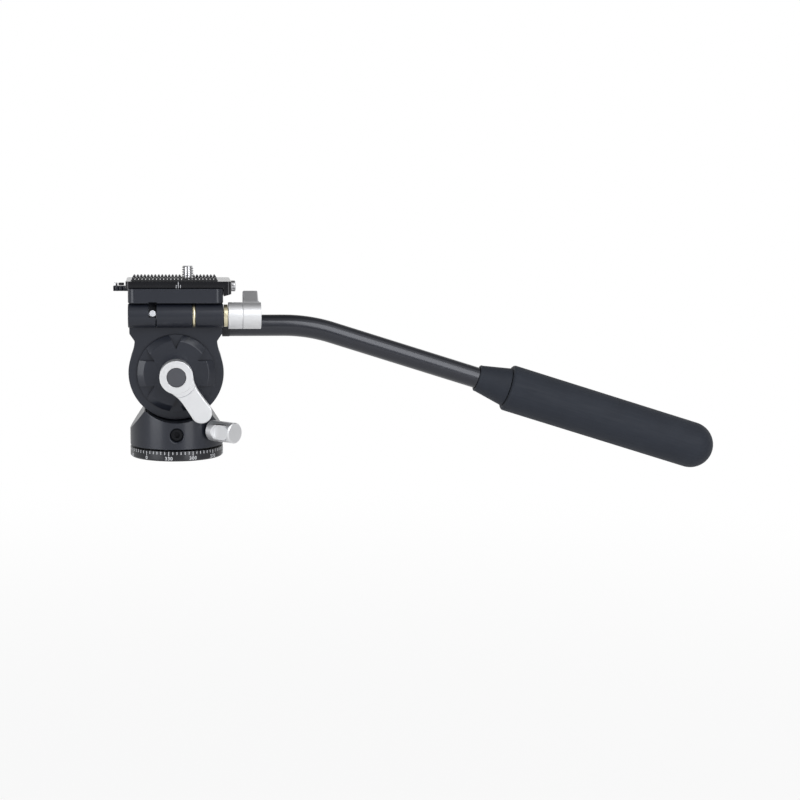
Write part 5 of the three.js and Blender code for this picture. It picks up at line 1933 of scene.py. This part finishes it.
@dataclass(frozen=True)
class Softbox:
    """A rectangular soft light. Places are in metres, the power is in watts."""

    name: str
    place: Place
    aim: Place
    size: Point
    power: float
    colour: Place = (0.97, 0.985, 1.0)

    def hang(self) -> None:
        """Hangs the light, facing its aim."""
        data = bpy.data.lights.new(self.name, "AREA")
        data.shape = "RECTANGLE"
        data.size, data.size_y = self.size
        data.energy = self.power
        data.color = self.colour
        light = linked(self.name, data)
        light.location = self.place
        light.rotation_mode = "QUATERNION"
        ahead = Vector(self.aim) - Vector(self.place)
        light.rotation_quaternion = ahead.to_track_quat("-Z", "Y")


@dataclass
class Studio:
    """The camera, the pale floor and the soft light. Places are in metres."""

    camera_place: Place = (0.0, -0.930, 0.152)
    camera_aim: Place = (0.122739, 0.0, 0.028883)
    focal_pixels: float = 1708.17
    picture_pixels: float = 800.0
    sensor_width: float = 36.0
    roll: float = 0.5
    floor_height: float = -0.30
    floor_size: float = 12.0
    backdrop_colour: str = "#d4d4d4"
    floor_gloss: float = 0.4
    backdrop_level: float = 1.0
    front_level: float = 0.32
    canopy_level: float = 0.4
    side_level: float = 0.9
    ceiling_share: float = 0.3
    softboxes: tuple[Softbox, ...] = (
        Softbox("left_softbox", (-1.26, -0.98, 0.27), (0.0, 0, 0.05), (0.9, 1.0), 10.0),
        Softbox("right_softbox", (0.80, -1.76, 1.28), (0.05, 0, 0.05), (1.2, 1.7), 20.0),
        Softbox("low_softbox", (0.95, -1.65, 0.02), (0.05, 0, 0.05), (0.7, 1.0), 7.0),
    )

    def build(self) -> None:
        """Sets the camera, the floor, the light and the view."""
        self._camera()
        self._floor()
        self._world()
        for softbox in self.softboxes:
            softbox.hang()
        bpy.context.scene.view_settings.view_transform = "Standard"

    def _camera(self) -> None:
        """The camera, at the photograph's viewing angle."""
        data = bpy.data.cameras.new("photo_camera")
        data.sensor_width = self.sensor_width
        data.lens = self.focal_pixels / self.picture_pixels * self.sensor_width
        data.clip_start = 0.01
        data.clip_end = 50.0
        camera = linked("photo_camera", data)
        place = Vector(self.camera_place)
        ahead = (Vector(self.camera_aim) - place).normalized()
        level = ahead.cross(Vector((0, 0, 1))).normalized()
        upright = level.cross(ahead)
        turn = math.radians(self.roll)
        right = level * math.cos(turn) + upright * math.sin(turn)
        up = upright * math.cos(turn) - level * math.sin(turn)
        rotation = Matrix((right, up, -ahead)).transposed().to_4x4()
        camera.matrix_world = Matrix.Translation(place) @ rotation
        bpy.context.scene.camera = camera

    def _floor(self) -> None:
        """A pale floor that is white to the camera and keeps the soft shadow."""
        shape = bmesh.new()
        bmesh.ops.create_grid(shape, x_segments=8, y_segments=8, size=self.floor_size / 2)
        mesh = bpy.data.meshes.new("studio_floor")
        shape.to_mesh(mesh)
        shape.free()
        floor = linked("studio_floor", mesh)
        floor.location.z = self.floor_height
        material = bpy.data.materials.new("pale_floor")
        material.use_nodes = True
        tree = material.node_tree
        tree.nodes.clear()
        paper = add_node(tree, "ShaderNodeBsdfDiffuse", inputs={
            "Color": linear(self.backdrop_colour),
        })
        glow = add_node(tree, "ShaderNodeEmission", inputs={
            "Color": (1, 1, 1, 1), "Strength": 1.0,
        })
        mixed = add_node(tree, "ShaderNodeMixShader", inputs={
            0: self._seen(tree), 1: paper, 2: glow,
        })
        add_node(tree, "ShaderNodeOutputMaterial", inputs={"Surface": mixed})
        mesh.materials.append(material)

    def _seen(self, tree: bpy.types.NodeTree) -> bpy.types.Node:
        """How much of the white backdrop a ray sees in the floor: all of it far from the head.

        Args:
            tree: the floor's node tree.

        Returns:
            The node that gives the share.
        """
        path = add_node(tree, "ShaderNodeLightPath").outputs
        place = add_node(tree, "ShaderNodeTexCoord").outputs["Object"]
        far = add_node(tree, "ShaderNodeVectorMath", {"operation": "LENGTH"}, {0: place})
        fade = add_node(tree, "ShaderNodeMapRange", {"interpolation_type": "SMOOTHSTEP"}, {
            "Value": far.outputs["Value"], "From Min": 0.3, "From Max": 1.6,
            "To Min": 0.9, "To Max": 1.0,
        })
        straight = add_node(tree, MATH, {"operation": "MULTIPLY"}, {
            0: path["Is Camera Ray"], 1: fade,
        })
        mirrored = add_node(tree, MATH, {"operation": "MAXIMUM"}, {
            0: path["Is Glossy Ray"], 1: path["Is Transmission Ray"],
        })
        dimmed = add_node(tree, MATH, {"operation": "MULTIPLY"}, {
            0: mirrored, 1: self.floor_gloss,
        })
        return add_node(tree, MATH, {"operation": "MAXIMUM"}, {0: straight, 1: dimmed})

    def _world(self) -> None:
        """A white backdrop, a dimmer room in front, and a dark ceiling between two lit sides."""
        world = bpy.data.worlds.new("studio_world")
        bpy.context.scene.world = world
        world.use_nodes = True
        tree = world.node_tree
        tree.nodes.clear()
        path = add_node(tree, "ShaderNodeLightPath").outputs
        direction = add_node(tree, "ShaderNodeTexCoord").outputs["Generated"]
        x, y, z = add_node(tree, "ShaderNodeSeparateXYZ", inputs={0: direction}).outputs
        leaning = add_node(tree, MATH, {"operation": "MULTIPLY_ADD"}, {0: y, 1: 0.25, 2: z})
        aside = add_node(tree, MATH, {"operation": "ABSOLUTE"}, {0: x})
        # Soft steps, each from one level to another as a direction crosses a span
        above, sides, behind, low = [
            add_node(tree, "ShaderNodeMapRange", {"interpolation_type": "SMOOTHSTEP"}, {
                "Value": value, "From Min": start, "From Max": end, "To Min": first,
                "To Max": last,
            })
            for value, (start, end), (first, last) in (
                (leaning, (0.45, 0.8), (0.0, 1.0)),
                (aside, (0.05, 0.4), (self.canopy_level, self.side_level)),
                (y, (-0.2, 0.1), (1.0, self.ceiling_share)),
                (y, (0.0, 0.6), (self.front_level, self.backdrop_level)),
            )
        ]
        high = add_node(tree, MATH, {"operation": "MULTIPLY"}, {0: sides, 1: behind})
        level = add_node(tree, "ShaderNodeMix", inputs={0: above, 2: low, 3: high})
        glow, white = [
            add_node(tree, "ShaderNodeBackground", inputs={
                "Color": (1, 1, 1, 1), "Strength": strength,
            })
            for strength in (level, 1.0)
        ]
        mixed = add_node(tree, "ShaderNodeMixShader", inputs={
            0: path["Is Camera Ray"], 1: glow, 2: white,
        })
        add_node(tree, "ShaderNodeOutputWorld", inputs={"Surface": mixed})


def tilt_lever() -> LockLever:
    """The lever that locks the tilt, on the near end of the axle.

    Returns:
        The lever.
    """
    stand = Matrix.Translation((0, 0, 46.5)) @ Matrix.Rotation(math.pi / 2, 4, "X")
    place = stand @ Matrix.Rotation(math.radians(-55.6), 4, "Z")
    return LockLever(
        "tilt_lever", place, bore=3.3, collar_radius=7.9, collar=(18.6, 27.1), hub=8.75, tip=5.6,
        reach=22.9, waist=5.3, step=10.7, thickness=9.7, arm=6.8, cap=5.0)


def flip_lever() -> LockLever:
    """The lever that locks the flip hinge, on the right end of its pin.

    Returns:
        The lever.
    """
    axes = Matrix(((0, 0, 1, 0), (1, 0, 0, 0), (0, 1, 0, 0), (0, 0, 0, 1)))
    stand = Matrix.Translation((0, -19, 77.5)) @ axes
    place = stand @ Matrix.Rotation(math.radians(26), 4, "Z")
    return LockLever(
        "flip_lever", place, bore=2.9, collar_radius=7.1, collar=(27.6, 35.2), hub=7.1, tip=4.5,
        reach=17.5, waist=4.4, step=8.6, thickness=9.5, arm=8.6, cap=4.2)


@dataclass
class InnerPieces:
    """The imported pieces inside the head, which stay as they are, and the finish of each."""

    finishes: dict[str, Finish] = field(default_factory=lambda: {
        "pan_spindle": ZINC_STEEL, "pan_retaining_ring": ZINC_STEEL,
        "pan_thrust_washer": WHITE_ACETAL, "pan_brake_shoe": TURNED_BRASS,
        "pan_drag_pad": WHITE_ACETAL, "tilt_bush_near": TURNED_BRASS,
        "tilt_bush_far": TURNED_BRASS, "friction_disc_near": WHITE_ACETAL,
        "friction_disc_far": WHITE_ACETAL, "handle_stud": ZINC_STEEL,
        "tube_end_plug": BLACK_NYLON, "jaw_guide_pin_1": ZINC_STEEL,
        "jaw_guide_pin_2": ZINC_STEEL, "screw_clip": ZINC_STEEL,
    })

    def build(self) -> None:
        """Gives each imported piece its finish."""
        for name, finish in self.finishes.items():
            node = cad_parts[name]
            node.data.materials.clear()
            node.data.materials.append(finish.material())
            LOG.info("%s: packed piece, %s", name, finish.name)


def main() -> None:
    """Builds the head's sub-assemblies in order, and then the studio."""
    logging.basicConfig(level=logging.INFO, format="%(name)s: %(message)s")
    parts = [
        PanBase(), PanBody(), PanLock(), TiltHead(), Handle(), tilt_lever(), flip_lever(),
        Clamp(), Plate(), InnerPieces(), Studio(),
    ]
    for part in parts:
        part.build()
        LOG.info("built %s", type(part).__name__)


if __name__ == "__main__":
    main()
